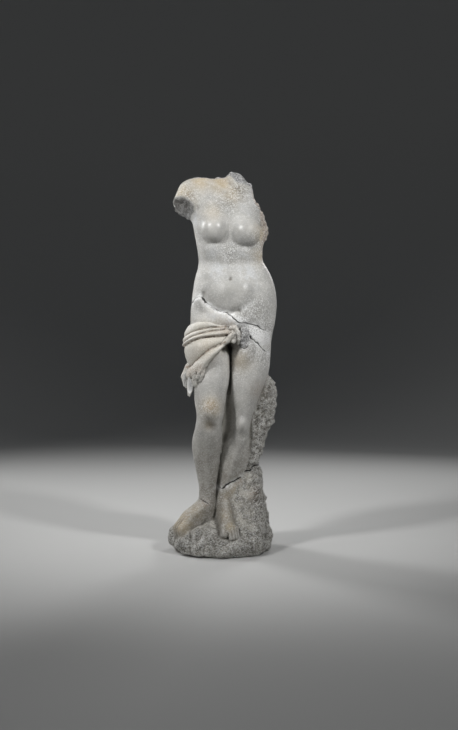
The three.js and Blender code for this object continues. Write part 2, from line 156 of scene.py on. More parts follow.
trunk = {
    "square": 2.3, "axisShare": 0.52,
    "levels": [   # name, height, left, right, front, back
        ("inside the legs", 480, -60, 98, -5, 50),
        ("crotch", 540, -84, 124, -12, 78),
        ("below the hip", 566, -86, 129, -48, 84),
        ("buttock", 590, -87, 134, -68, 86),
        ("hip", 640, -87, 141, -70, 88),
        ("belly", 690, -80.5, 138, -69, 78),
        ("navel", 720, -76, 129.5, -63, 66),
        ("flank", 745, -69, 117, -58, 58),
        ("waist", 765, -66, 105.5, -58, 53),
        ("rib edge", 790, -68, 103, -61, 54),
        ("under the bust", 815, -72.5, 107, -63, 58),
        ("bust", 850, -79, 109, -62, 64),
        ("armpit", 885, -86, 109, -60, 68),
        ("collar", 930, -86, 104, -53, 68),
        ("neck root", 963, -80, 92, -41, 60),
        ("neck break", 985, -72, 76, -24, 46),
        ("above the break", 1010, -66, 60, -8, 34),
    ],
    "forms": [   # name, side, across, up, half width, reach up and down, height, fall, lean
        ("belly", -1, 17, 684, 70, 70, 62, 16, 1.4, 0.0),
        ("belly's left swell", -1, 58, 692, 22, 24, 36, 4, 1.5, 0.0),
        ("mons", -1, 22, 588, 42, 44, 26, 5, 1.5, 0.0),
        ("navel", -1, 18.5, 711, 7, 8, 6, -4.5, 1.3, 0.0),
        ("navel's hollow", -1, 18.5, 714, 20, 26, 18, -3, 1.5, 0.0),
        ("right ribs", -1, -34, 790, 36, 34, 30, 4, 1.5, 0.0),
        ("left ribs", -1, 68, 786, 38, 34, 30, 4, 1.5, 0.0),
        ("neck's side", -1, 46, 974, 32, 44, 40, 6, 1.0, -0.35),
        ("right breast's slope", -1, -27, 858, 50, 80, 52, 11, 2.0, 0.0),
        ("left breast's slope", -1, 57, 850, 50, 76, 50, 11, 2.0, 0.0),
        ("right buttock", 1, -28, 584, 62, 84, 80, 25, 1.1, 0.0),
        ("left buttock", 1, 70, 600, 64, 90, 82, 27, 1.1, 0.0),
        ("cleft", 1, 20, 586, 9, 62, 80, -16, 1.5, 0.0),
        ("spine", 1, 14, 800, 32, 170, 150, -15, 2.2, 0.0),
        ("right dimple", 1, -16, 690, 15, 15, 15, -6, 1.5, 0.0),
        ("left dimple", 1, 46, 696, 15, 15, 15, -6, 1.5, 0.0),
        ("right shoulder blade", 1, -40, 896, 36, 56, 62, 13, 1.2, 0.0),
        ("left shoulder blade", 1, 64, 892, 36, 56, 62, 13, 1.2, 0.0),
    ],
    "creases": [   # soft furrows: name, front (-1) or back (+1), width, depth, points across and up
        ("below the belly", -1, 9, 6.5, [(-50, 676), (-44, 656), (-20, 632), (12, 624), (40, 630)]),
        ("belly's right side", -1, 12, 4.5, [(-46, 712), (-48, 670)]),
        ("ribs' end", -1, 13, 2.2, [(-70, 756), (16, 752), (110, 756)]),
        ("middle line", -1, 14, 1.4, [(18, 716), (17, 760), (14, 806)]),
        ("breastbone", -1, 16, 2.0, [(16, 800), (16, 850), (10, 896)]),
        ("right groin", -1, 14, 3.0, [(-80, 640), (-40, 612), (8, 576)]),
        ("left groin", -1, 16, 2.5, [(120, 620), (84, 592), (40, 568)]),
        ("neck's edge", -1, 5, 2, [(8, 1000), (12, 976), (21, 955)]),
        ("throat", -1, 13, 9, [(-16, 986), (0, 973), (10, 961)]),
        ("right collarbone", -1, 7, -5.5, [(-64, 978), (-31, 967), (-10, 955), (6, 943)]),
        ("right arm's fold", -1, 11, 4, [(-86, 878), (-66, 900)]),
        ("seat fold", 1, 9, 4, [(-76, 536), (-40, 520), (8, 524)]),
        ("left seat fold", 1, 9, 4, [(34, 530), (74, 524), (112, 544)]),
    ],
    "breastFillet": (3.5, 14.0),   # below and above each one's middle
    "breasts": [
        {"centre": (-24, -49, 843), "radii": (33, 36, 37)},
        {"centre": (60, -49, 836), "radii": (36.5, 37, 38)},
    ],
}


def lineDistance(x, z, line):   # distance across and up to a bent line
    gap = np.float32(1e6)
    for (x0, z0), (x1, z1) in zip(line[:-1], line[1:]):
        run2 = (x1 - x0) ** 2 + (z1 - z0) ** 2
        along = np.clip(((x - x0) * (x1 - x0) + (z - z0) * (z1 - z0)) / run2, 0.0, 1.0)
        gap = np.minimum(gap, (x - x0 - along * (x1 - x0)) ** 2 + (z - z0 - along * (z1 - z0)) ** 2)
    return np.sqrt(gap)


def creases(p, lines):   # how far soft furrows sink in
    x, y, z = p
    sink = 0.0
    for _, side, width, depth, line in lines:
        sink = sink + facingShare(y, side) * depth * np.exp(-(lineDistance(x, z, line) / width) ** 2)
    return sink


def trunkField(p):
    field = lofted(p, trunk) - mounds(p, trunk["forms"]) + creases(p, trunk["creases"])
    for breast in trunk["breasts"]:
        middle, tall = breast["centre"][2], breast["radii"][2]
        fillet = np.interp(p[2], (middle - tall / 3, middle + tall), trunk["breastFillet"])
        field = joined(field, ellipsoid(p, breast["centre"], breast["radii"]), fillet)
    return field


standingLeg = {
    "square": 2.1, "axisShare": 0.45,
    "levels": [
        ("hip joint", 620, 18, 122, -52, 72),
        ("crotch", 546, 27, 126, -65, 77),
        ("below the crotch", 514, 18, 124, -67, 74),
        ("thigh", 471, 17, 119, -66, 62),
        ("mid thigh", 440, 20.5, 108, -64, 52),
        ("low thigh", 410, 24, 96, -60, 44),
        ("above the knee", 375, 25, 83, -56, 37),
        ("knee top", 345, 26, 73, -53, 33),
        ("knee", 320, 23, 69, -49, 33),
        ("below the knee", 300, 13, 68, -43, 38),
        ("calf top", 275, -2, 67, -39, 47),
        ("calf", 250, -8, 66, -36, 52),
        ("calf end", 222, -10, 58, -31, 50),
        ("shin", 190, -11.5, 47, -24, 44),
        ("low shin", 160, -14, 31, -18, 39),
        ("ankle", 132, -20, 18, -15, 36),
        ("heel", 95, -22, 14, -14, 38),
        ("in the rock", 60, -22, 14, -12, 36),
    ],
    "forms": [
        ("kneecap", -1, 49, 336, 19, 22, 22, 9, 1.5, 0.0),
        ("below the kneecap", -1, 49, 306, 16, 12, 16, -4, 1.5, 0.0),
        ("upper thigh", -1, 50, 545, 38, 60, 70, 16, 1.5, 0.0),
        ("shin edge", -1, 24, 232, 13, 80, 80, 4, 1.5, 0.28),
        ("knee hollow", 1, 48, 330, 16, 46, 40, -6, 1.5, 0.0),
        ("calf", 1, 26, 252, 40, 50, 60, 7, 1.5, 0.0),
    ],
    "creases": [
        ("between the thighs", -1, 3.5, 10, [(20, 534), (19.5, 505), (19.5, 470), (18, 440), (14, 415)]),
    ],
    "innerThigh": [(36, -36, 556, 12), (31, -38, 514, 14), (30, -38, 471, 14), (33, -36, 430, 13),
        (37, -34, 396, 11)],
    "thighFillet": 16.0,
}
restingLeg = {
    "square": 2.1, "axisShare": 0.45,
    "levels": [
        ("hip joint", 620, -76, 14, -56, 66),
        ("crotch", 546, -83, 8, -70, 70),
        ("below the crotch", 514, -83, 21, -75, 64),
        ("thigh", 471, -80, 23, -80, 52),
        ("mid thigh", 440, -79, 16, -84, 41),
        ("low thigh", 410, -77, 7.5, -87, 30),
        ("above the knee", 385, -74, 3, -90, 20),
        ("knee", 357, -69.5, -1, -90, 10),
        ("below the knee", 330, -73, -5.5, -80, 10),
        ("calf top", 300, -80.5, -5, -66, 24),
        ("calf", 275, -83, -5.5, -54, 37),
        ("low calf", 250, -81, -8, -44, 43),
        ("calf end", 222, -75.5, -11.5, -34, 43),
        ("shin", 190, -69.5, -16, -25, 40),
        ("low shin", 160, -65, -20, -19, 36),
        ("ankle", 138, -66, -21.5, -18, 36),
        ("heel", 105, -66, -23, -16, 40),
        ("in the rock", 66, -64, -26, -14, 38),
    ],
    "forms": [
        ("kneecap", -1, -35, 368, 21, 27, 23, 11, 1.0, 0.0),
        ("below the kneecap", -1, -33, 333, 17, 13, 30, -8, 1.5, 0.0),
        ("knee's inner side", -1, -10, 366, 12, 30, 26, 3, 1.5, 0.0),
        ("shin edge", -1, -44, 232, 13, 76, 80, 4, 1.5, 0.0),
        ("knee hollow", 1, -34, 350, 18, 50, 44, -6, 1.5, 0.0),
        ("calf", 1, -46, 262, 38, 46, 64, 6, 1.5, 0.0),
    ],
}
legWeb = {   # the stone left standing between the legs, behind their fronts
    "square": 3.0, "axisShare": 0.5,
    "levels": [
        ("foot", 50, -52, 40, 10, 70),
        ("calves", 200, -46, 40, 6, 62),
        ("knees", 310, -34, 60, -12, 44),
        ("thighs", 430, -20, 66, -22, 44),
        ("crotch", 540, -10, 60, 0, 60),
    ],
    "fillet": [("calves", 250, 10), ("knees", 330, 18), ("thighs", 450, 8), ("crotch", 520, 4)],
}


def legField(p, leg):
    field = lofted(p, leg) - mounds(p, leg["forms"])
    if "innerThigh" in leg:
        thigh = slab(p, "innerThigh", lambda q: chain(q, leg["innerThigh"]))
        field = joined(field, thigh, leg["thighFillet"])
    return field


arm = {
    "shoulder": (-80, 14, 942), "end": (-114, -26, 885), "shoulderRadius": 45, "endRadius": 31,
    "breakPoint": (-100, -14, 902), "breakFacing": (-0.5, -0.54, -0.68), "breakEdge": 3.0,
    "scarCentre": (100, 10, 850), "scarRadii": (17, 28, 32), "scarDepth": 4,
    "stumpRight": -80, "stumpLow": 860,
    "scarLine": [(92, 912), (104, 876), (114, 850), (108, 800), (106, 762)],   # roughened side, across and up
}


def armField(p):
    stump = taper(p, arm["shoulder"], arm["end"], arm["shoulderRadius"], arm["endRadius"])
    return within(stump, plane(p, arm["breakPoint"], arm["breakFacing"]), arm["breakEdge"])


topBreak = {   # the broken top edge seen from the front, from the right shoulder to the lost left arm
    "lean": 0.06, "leanFrom": 10,   # the break slopes down towards the back
    "line": [(-170, 990), (-75, 988), (-30, 982), (6, 985), (12, 991), (19, 997), (45, 992), (51, 981),
        (61, 971), (63, 964), (74, 955), (76, 940), (79.5, 922), (83.5, 911), (97, 900), (100.5, 890),
        (107, 879), (109, 868), (118, 858), (122, 846), (170, 790)],
}


def topBreakField(p):   # how far above the broken edge a place is
    x, y, z = p
    line = topBreak["line"]
    places = np.array([at for at, _ in line], np.float32)
    heights = np.array([height for _, height in line], np.float32)
    slopes = np.gradient(heights, places)
    edge = np.interp(x, places, heights)
    lie = 1 / np.sqrt(1 + np.interp(x, places, slopes) ** 2)
    return (z - edge) * lie + topBreak["lean"] * (y - topBreak["leanFrom"])


rightFoot = {   # turned out, its toes worn away into the rock's edge; each row a point and its radius
    "crest": [(-46, 12, 118, 21), (-84, -20, 86, 27), (-110, -40, 60, 24)],
    "inner": [(-42, -9, 118, 8), (-60, -33, 96, 10), (-79, -50, 79, 11), (-100, -62, 60, 11)],
    "sidePoint": (-68, -44, 92), "sideFacing": (0.62, -0.755, 0.0),   # the flat inner side below the ridge
    "fillet": 30.0, "sideEdge": 6.0,
    "toeGrooves": (-14, -5, 4, 12), "grooveWidth": 2.4, "grooveDepth": 3.2,   # across the foot, worn shallow
    "grooveStart": 73, "grooveFull": 95,   # along the foot from the ankle
}
leftFoot = {
    "heel": (-6, 38), "ground": 104, "turn": 10, "slope": 24, "length": 154, "sink": 16,
    "heelEdge": 10.0, "endEdge": 8.0,
    "toeRoot": 0.74, "toeRootTop": 22, "toeSpread": 0.92, "toeLift": 0.7, "toeFillet": 1.6,
    "sections": [   # name, share of the length from the heel, half width, height of the top
        ("heel's back", 0.0, 12, 20), ("heel", 0.08, 18, 36), ("ankle", 0.26, 18, 52),
        ("instep", 0.45, 19, 42), ("arch", 0.62, 20, 30), ("ball", 0.77, 22, 20),
        ("toe roots", 0.85, 22, 14), ("end", 0.89, 20, 9),
    ],
    "toes": [   # name, how far to the side, reach as a share of the length, radius
        ("big toe", -12.5, 0.925, 8), ("second", 1.5, 0.995, 4.8), ("third", 9.5, 0.985, 4.3),
        ("fourth", 16.5, 0.955, 4.0), ("little toe", 23, 0.915, 3.8),
    ],
}


def rightFootField(p):
    foot = joined(chain(p, rightFoot["crest"]), chain(p, rightFoot["inner"]), rightFoot["fillet"])
    foot = within(foot, plane(p, rightFoot["sidePoint"], rightFoot["sideFacing"]), rightFoot["sideEdge"])
    (startX, startY), (endX, endY) = rightFoot["crest"][0][:2], rightFoot["crest"][-1][:2]
    length = math.hypot(endX - startX, endY - startY)
    runX, runY = (endX - startX) / length, (endY - startY) / length
    along = (p[0] - startX) * runX + (p[1] - startY) * runY
    across = (p[1] - startY) * runX - (p[0] - startX) * runY
    grooves = sum(np.exp(-((across - at) / rightFoot["grooveWidth"]) ** 2)
                  for at in rightFoot["toeGrooves"])
    share = (along - rightFoot["grooveStart"]) / (rightFoot["grooveFull"] - rightFoot["grooveStart"])
    return foot + rightFoot["grooveDepth"] * grooves * np.clip(share, 0.0, 1.0)


def leftFootField(p):
    foot = leftFoot
    turn, slope = math.radians(foot["turn"]), math.radians(foot["slope"])
    x, y, z = p[0] - foot["heel"][0], p[1] - foot["heel"][1], p[2] - foot["ground"]
    wide = x * math.cos(turn) + y * math.sin(turn)
    level = x * math.sin(turn) - y * math.cos(turn)
    ahead = level * math.cos(slope) - z * math.sin(slope)
    high = level * math.sin(slope) + z * math.cos(slope)
    half = smoothCurve(foot["sections"], 2, ahead / foot["length"])
    top = smoothCurve(foot["sections"], 3, ahead / foot["length"])
    tall = np.where(high > 0, top, foot["sink"])
    reach = np.maximum(np.sqrt((wide / half) ** 2 + (high / tall) ** 2), 0.02)
    field = np.sqrt(wide ** 2 + high ** 2 + 1e-6) * (1 - 1 / reach)
    field = within(field, -ahead, foot["heelEdge"])
    field = within(field, ahead - foot["sections"][-1][1] * foot["length"], foot["endEdge"])
    for _, side, share, radius in foot["toes"]:
        root = (side * foot["toeSpread"], foot["toeRoot"] * foot["length"], foot["toeRootTop"] - radius)
        tip = (side, share * foot["length"] - radius, radius * foot["toeLift"])
        toe = taper((wide, ahead, high), root, tip, radius, radius)
        field = joined(field, toe, foot["toeFillet"])
    return field


cloth = {
    "square": 2.2, "axisShare": 0.5, "countFrom": -86,   # angles are counted up from here
    "start": -36, "fadeIn": 30, "wrapEnd": 150, "fadeOut": 40,   # angles where the full wrap begins and ends
    "layerStart": 80, "thinIn": 50, "rollEnd": 222, "rollFade": 50, "end": 262, "thinOut": 70,
    "thick": 3.0, "sink": 4.0,   # behind, it lies close on the body, thins out and sinks away
    "perDegree": 1.4, "sideEdge": 6.0, "topEdge": 5.0, "hemEdge": 3.0, "bridgeFillet": 14.0,
    "tailEdge": 1.5, "strandFillet": 1.5, "tailFillet": 4.0, "endFillet": 2.5, "endEdge": 4.0,
    "bridge": ((20, 88, 612), (20, 80, 490), 18, 18),   # drawn across between the buttocks
    "levels": [
        ("tail", 400, -80, 44, -86, 60),
        ("low", 470, -84, 46, -84, 72),
        ("thigh", 495, -86, 50, -81, 80),
        ("crotch", 515, -92, 56, -78, 86),
        ("middle", 540, -101, 60, -75, 91),
        ("hip", 562, -101, 62, -72, 93),
        ("upper roll", 588, -89, 62, -69, 92),
        ("top", 606, -81, 62, -67, 88),
    ],
    "lines": [   # name, angle from the front to the right side, then the grooves between rolls downwards
        ("knot", -36, 590, 587, 583, 568, 558, 547),
        ("beside the knot", -22, 591, 588, 585, 567.5, 556, 546),
        ("front", -6, 593, 588, 581, 565.5, 542, 526),
        ("thigh's middle", 5, 596, 587, 578.5, 563.5, 533, 509),
        ("thigh", 20, 602, 585, 574, 561, 520, 488),
        ("thigh's side", 42, 602, 579, 565, 553, 502, 466),
        ("before the side", 60, 600, 571, 556, 545, 490, 456),
        ("side", 90, 598, 563, 549, 538, 484, 452),
        ("behind the side", 130, 604, 572, 557, 545, 494, 462),
        ("back", 180, 612, 586, 572, 557, 514, 486),
        ("left of the back", 222, 613, 594, 584, 572, 544, 524),
        ("end", 262, 604, 594, 588, 582, 570, 560),
    ],
    "rolls": [(9, 0.8), (7, 1.2), (15, 1.5), (10, 1.2), (16, 1.2)],   # most that each stands out, its droop
    "plump": 0.85, "groove": 2.0,   # height of a roll for its width, and width of the grooves
    "hem": 0.86,   # how much of the lowest roll is there before its edge
    "knot": [   # strands of the knot, each row a point and its radius
        [(0, -78, 544, 6.5), (10, -83, 552, 7.5), (18, -85, 563, 7.5), (26, -82, 569, 6), (24, -76, 576, 5)],
        [(27, -78, 560, 6), (26.5, -83, 551, 6.5)],
        [(20, -74, 585, 6), (31, -77, 586, 6.5), (38, -79, 572, 7), (39.5, -78, 556, 6), (38, -72, 546, 4.5)],
    ],
    "brokenEnd": {"centre": (53, -62, 560), "radii": (16, 24, 26),
                  "point": (53, -82, 560), "facing": (0.2, -1, -0.15)},
    "tails": [   # the hanging ends: points and radii, then a point and the facing of the broken face
        {"rows": [(-92, -20, 486, 9), (-102, -26, 460, 9.5), (-98, -30, 432, 6)],
         "point": (-98, -30, 446), "facing": (0.4, -0.9, -0.1)},
        {"rows": [(-80, -40, 478, 9), (-84, -49, 450, 9), (-87, -51, 426, 8), (-90, -50, 407, 2.5)],
         "point": (-86, -55, 430), "facing": (0.1, -1, 0.08)},
        {"rows": [(-66, -62, 488, 12), (-69, -65, 464, 12), (-71, -62, 441, 9)]},
        {"rows": [(-52, -74, 486, 8), (-57, -76, 466, 8), (-61, -72, 450, 6)]},
        {"rows": [(-80, -10, 486, 14), (-86, -34, 462, 12), (-76, -48, 448, 10), (-66, -58, 446, 6)]},
        {"rows": [(-44, -82, 490, 4), (-55, -83, 482, 4.5), (-63, -82, 470, 4.5), (-68, -78, 456, 4)]},
    ],
}


def clothTurn(across, deep):   # angle round the wrap in degrees, from the front to the right side
    power = cloth["square"] / 2
    sideways = -np.sign(across) * np.abs(across) ** power
    forwards = -np.sign(deep) * np.abs(deep) ** power
    turn = np.degrees(np.arctan2(sideways, forwards))
    return np.where(turn < cloth["countFrom"], turn + 360, turn)


def clothRelief(turn, z):   # how far the rolls stand out, both edges, and the grooves between rolls
    lines = [smoothCurve(cloth["lines"], 2 + i, turn) for i in range(len(cloth["rolls"]) + 1)]
    height = np.zeros(np.broadcast(turn, z).shape, np.float32)
    for upper, lower, (most, droop) in zip(lines[:-1], lines[1:], cloth["rolls"]):
        share = np.clip((upper - z) / (upper - lower), 0.0, 1.0) ** droop
        if lower is lines[-1]:
            share = share * cloth["hem"]
        rise = np.minimum(most, cloth["plump"] * (upper - lower))
        height = np.maximum(height, rise * np.sqrt(4 * share * (1 - share)))
    groove = sum(np.exp(-((z - line) / cloth["groove"]) ** 2) for line in lines[1:-1])
    return height, lines[0], lines[-1], groove


def clothField(p):
    z = p[2]
    field, across, deep = outline(p, cloth)
    turn = clothTurn(across, deep)
    height, top, low, _ = clothRelief(turn, z)

    def ramp(value, length):
        return np.clip(value / length, 0.0, 1.0)

    fadeIn = np.clip((turn - cloth["start"]) / cloth["fadeIn"] + 0.5, 0.0, 1.0)
    fade = fadeIn * ramp(cloth["wrapEnd"] - turn, cloth["fadeOut"])
    field = within(field - height * fade, (cloth["start"] - turn) * cloth["perDegree"], cloth["sideEdge"])
    field = within(field, (turn - cloth["wrapEnd"]) * cloth["perDegree"], cloth["sideEdge"])
    thin = ramp(turn - cloth["layerStart"], cloth["thinIn"]) * ramp(cloth["end"] - turn, cloth["thinOut"])
    body = joined(figureField(p), taper(p, *cloth["bridge"]), cloth["bridgeFillet"])
    height = height * ramp(cloth["rollEnd"] - turn, cloth["rollFade"])
    layer = body + cloth["sink"] * (1 - thin) - (cloth["thick"] + height) * thin
    field = joined(field, layer, cloth["sideEdge"])
    field = within(within(field, z - top, cloth["topEdge"]), low - z, cloth["hemEdge"])
    tails = np.full_like(field, sculpt["far"])
    for tail in cloth["tails"]:
        rods = chain(p, tail["rows"])
        if "point" in tail:
            rods = within(rods, plane(p, tail["point"], tail["facing"]), cloth["tailEdge"])
        tails = joined(tails, rods, cloth["strandFillet"])
    field = joined(field, tails, cloth["tailFillet"])
    for strand in cloth["knot"]:
        field = joined(field, chain(p, strand), cloth["strandFillet"])
    return joined(field, brokenEndField(p), cloth["endFillet"])


def brokenEndField(p):
    end = cloth["brokenEnd"]
    face = plane(p, end["point"], end["facing"])
    return within(ellipsoid(p, end["centre"], end["radii"]), face, cloth["endEdge"])


support = {
    "square": 2.6, "axisShare": 0.5,
    "fillet": [("base", 55, 3), ("foot", 90, 12), ("ankle", 130, 28), ("shin", 200, 18), ("knee", 340, 6)],
    "levels": [
        ("in the base", 30, 20, 116, -84, 100),
        ("foot", 75, 30, 115, -56, 99),
        ("low", 131, 24, 105, -28, 96),
        ("below the crack", 190, 22, 99.5, -13, 93),
        ("crack", 222, 26, 94, -9, 91),
        ("narrow", 262, 32, 99, -7, 88),
        ("knee", 320, 42, 118.5, -7, 84),
        ("shoulder", 370, 50, 138, -5, 80),
        ("bulge", 398, 55, 140, -3, 77),
        ("neck", 440, 68, 132, 2, 66),
        ("top", 476, 84, 116, 16, 50),
    ],
    "channel": [(33, 2, 160, 10), (33, -8, 130, 12), (35, -20, 106, 12), (40, -36, 84, 11),
        (46, -54, 66, 9)],
    "channelFillet": 16.0,   # fills the cleft between the foot and the support to a shallow strip
}
base = {
    "square": 2.0, "axisShare": 0.52, "edge": 4.0,
    "levels": [
        ("underside", 0, -117, 111, -113, 88),
        ("lower edge", 13, -133, 119, -118, 98),
        ("widest", 32, -139, 117, -118, 103),
        ("upper edge", 58, -131, 113, -104, 101),
        ("shoulder", 84, -104, 109, -84, 96),
        ("crown", 116, -66, 101, -66, 86),
    ],
    "topHeight": 88, "riseBack": 0.49, "riseRight": 0.04, "topEdge": 16.0,
    "toeBed": [(-52, -50, 58, 12), (-80, -66, 51, 13), (-104, -64, 44, 10)],
    "toeBedFillet": 14.0,   # rock raised before the right foot
}


def baseField(p):
    top = plane(p, (0, 0, base["topHeight"]), (-base["riseRight"], -base["riseBack"], 1))
    return within(lofted(p, base), top, base["topEdge"])


fillets = {   # where the parts meet, and the rounding of the broken top
    "hips": 8.0, "shoulder": 14.0, "armScar": 8.0, "rightFoot": 10.0, "leftFoot": 8.0, "cloth": 3.0,
    "support": 20.0, "topBreak": 3.0,
}


def rockField(p):
    rock = slab(p, "base", baseField)
    rock = joined(rock, slab(p, "toeBed", lambda q: chain(q, base["toeBed"])), base["toeBedFillet"])
    rock = joined(rock, slab(p, "support", lambda q: lofted(q, support)), fillets["support"])
    return joined(rock, slab(p, "channel", lambda q: chain(q, support["channel"])), support["channelFillet"])


def figureField(p):
    figure = slab(p, "trunk", trunkField)
    legs = slab(p, "legs", lambda q: np.minimum(legField(q, standingLeg), legField(q, restingLeg)))
    figure = joined(figure, legs, fillets["hips"])
    figure = figure + slab(p, "thighGroove", lambda q: creases(q, standingLeg["creases"]), 0.0)
    figure = joined(figure, slab(p, "arm", armField), fillets["shoulder"])
    scar = slab(p, "armScar", lambda q: ellipsoid(q, arm["scarCentre"], arm["scarRadii"]))
    figure = joined(figure, scar, fillets["armScar"])
    figure = joined(figure, slab(p, "feet", rightFootField), fillets["rightFoot"])
    return joined(figure, slab(p, "feet", leftFootField), fillets["leftFoot"])


def webField(p):
    return slab(p, "web", lambda q: lofted(q, legWeb))


def statueField(p):
    figure = within(figureField(p), topBreakField(p), fillets["topBreak"])
    stone = joined(figure, slab(p, "cloth", clothField), fillets["cloth"])
    stone = joined(stone, webField(p), smoothCurve(legWeb["fillet"], 2, p[2]))
    stone = joined(stone, rockField(p), smoothCurve(support["fillet"], 2, p[2]))
    return np.maximum(stone, -p[2])


def gridMesh(field, low, step):   # one vertex in each cell that the surface crosses, joined by quads
    inside = field < 0
    n = field.shape
    corners = [(i, j, k) for i in (0, 1) for j in (0, 1) for k in (0, 1)]
    filled = np.zeros(tuple(v - 1 for v in n), np.uint8)
    for i, j, k in corners:
        filled += inside[i:n[0] - 1 + i, j:n[1] - 1 + j, k:n[2] - 1 + k]
    cells = np.argwhere((filled > 0) & (filled < 8))
    number = np.full(filled.shape, -1, np.int64)
    number[tuple(cells.T)] = np.arange(len(cells))
    value = {c: field[cells[:, 0] + c[0], cells[:, 1] + c[1], cells[:, 2] + c[2]] for c in corners}
    total = np.zeros((len(cells), 3))
    count = np.zeros(len(cells))
    for a in corners:
        for axis in range(3):
            if a[axis]:
                continue
            b = tuple(1 if i == axis else a[i] for i in range(3))
            cross = (value[a] < 0) != (value[b] < 0)
            at = np.tile(np.array(a, float), (int(cross.sum()), 1))
            at[:, axis] = value[a][cross] / (value[a][cross] - value[b][cross])
            total[cross] += at
            count[cross] += 1
    points = (cells + total / count[:, None]) * step + np.asarray(low)
    quads = []
    for axis in range(3):
        first, second = [i for i in range(3) if i != axis]
        before, after = [slice(None)] * 3, [slice(None)] * 3
        before[axis], after[axis] = slice(0, -1), slice(1, None)
        edges = np.argwhere(inside[tuple(before)] != inside[tuple(after)])
        ring = []
        for back1, back2 in ((1, 1), (0, 1), (0, 0), (1, 0)):
            cell = edges.copy()
            cell[:, first] -= back1
            cell[:, second] -= back2
            ring.append(number[tuple(cell.T)])
        quad = np.stack(ring, 1)
        turn = inside[tuple(edges.T)] == (axis != 1)
        quad[~turn] = quad[~turn][:, ::-1]
        quads.append(quad)
    return points, np.concatenate(quads)


def carveGrid():
    step = sculpt["step"]
    axes = [np.arange(lo, hi + step, step, dtype=np.float32) for lo, hi in zip(sculpt["low"], sculpt["high"])]
    p = (axes[0][:, None, None], axes[1][None, :, None], axes[2][None, None, :])
    return gridMesh(statueField(p), sculpt["low"], step)


settling = {"rounds": 2, "reach": 0.35, "flattest": 0.05, "most": 1.5}


def settle(points):   # moves points straight onto the carved surface
    reach = settling["reach"]
    for _ in range(settling["rounds"]):
        axes = [points[:, i].astype(np.float32) for i in range(3)]
        here = statueField(tuple(axes))
        slope = np.empty_like(points)
        for i in range(3):
            ahead = [axis + reach if i == k else axis for k, axis in enumerate(axes)]
            slope[:, i] = (statueField(tuple(ahead)) - here) / reach
        steep = np.maximum((slope ** 2).sum(1), settling["flattest"])
        points = points - np.clip(here / steep, -settling["most"], settling["most"])[:, None] * slope
    return points


points, quads = carveGrid()
points = settle(points)
print("stone carved:", len(points), "points")


def meshFrom(name, points, faces):
    mesh = bpy.data.meshes.new(name)
    corners = faces.shape[1]
    mesh.vertices.add(len(points))
    mesh.vertices.foreach_set("co", points.astype(np.float32).ravel())
    mesh.loops.add(faces.size)
    mesh.loops.foreach_set("vertex_index", faces.astype(np.int32).ravel())
    mesh.polygons.add(len(faces))
    mesh.polygons.foreach_set("loop_start", np.arange(0, faces.size, corners, dtype=np.int32))
    mesh.polygons.foreach_set("loop_total", np.full(len(faces), corners, np.int32))
    mesh.update(calc_edges=True)
    return mesh


def vertexRows(mesh, what):   # the places ("co") or the facings ("normal") of all points
    flat = np.empty(len(mesh.vertices) * 3, np.float32)
    mesh.vertices.foreach_get(what, flat)
    return flat.reshape(-1, 3).astype(float)


def placePoints(mesh, points):
    mesh.vertices.foreach_set("co", points.astype(np.float32).ravel())
    mesh.update()


def refine(mesh, chosen):   # halves every edge whose two ends are chosen
    work = bmesh.new()
    work.from_mesh(mesh)
    work.verts.ensure_lookup_table()
    edges = [edge for edge in work.edges if chosen[edge.verts[0].index] and chosen[edge.verts[1].index]]
    bmesh.ops.subdivide_edges(work, edges=edges, cuts=1, use_grid_fill=True)
    bmesh.ops.triangulate(work, faces=[face for face in work.faces if len(face.verts) > 4])
    work.to_mesh(mesh)
    work.free()


cracks = [   # where the stone was broken and mended: name, side, depth, whiteness of the edges,
    # then points across and up with half the width there
    ("belly", -1, 4.0, 1.0, [(-90, 652, 1.5), (-84, 657, 1.5), (-76, 664, 0.5), (-65, 669, 0.4),
     (-56, 668, 0.5), (-50, 661, 1.9), (-46, 655, 1.3), (-41, 650, 0.5), (-31, 643, 0.45), (-17, 632, 0.55),
     (-3, 628, 0.45), (10, 624, 0.8), (17, 619, 1.2), (29, 609, 1.3), (42, 598, 1.6)]),
    ("left hip", -1, 4.0, 0.9, [(42, 598, 1.4), (62, 597, 0.8), (76, 595, 1.2), (89, 592, 1.2),
     (99, 585, 0.7), (112, 580, 0.6), (120, 577, 0.2)]),
    ("left thigh", -1, 4.0, 0.7, [(72, 565, 2.8), (73, 560, 1.6), (79, 554, 0.9), (88, 548, 1.2),
     (97, 536, 1.2), (108, 527, 0.8), (118, 520, 0.2)]),
    ("below the knot", -1, 3.5, 0.2, [(41, 538, 0.4), (51, 533, 0.9), (60, 535, 0.8), (66, 545, 0.4)]),
    ("behind the hips", 1, 3.5, 0.6, [(-96, 650, 1.2), (-60, 640, 0.6), (-20, 646, 1.3), (30, 628, 0.7),
     (74, 616, 1.4), (112, 590, 0.8), (146, 574, 0.6)]),
    ("left shin", -1, 4.5, 1.0, [(-16, 164, 0.5), (-3, 163, 0.8), (3, 169, 1.8), (17, 178, 1.7),
     (34, 187, 1.7), (46, 193, 1.4)]),
    ("behind the left calf", 1, 3.0, 0.4, [(-22, 158, 0.6), (0, 172, 1.2), (20, 180, 0.8), (40, 204, 1.4),
     (70, 212, 1.0), (104, 224, 1.6)]),
    ("support", -1, 6.0, 0.1, [(58, 208, 1.4), (74, 212, 2.0), (88, 221, 1.8), (104, 228, 2.4)]),
    ("right ankle", -1, 2.0, 0.2, [(-68, 139, 0.5), (-62, 136, 0.7), (-52, 131, 1.0), (-40, 124, 0.8)]),
]
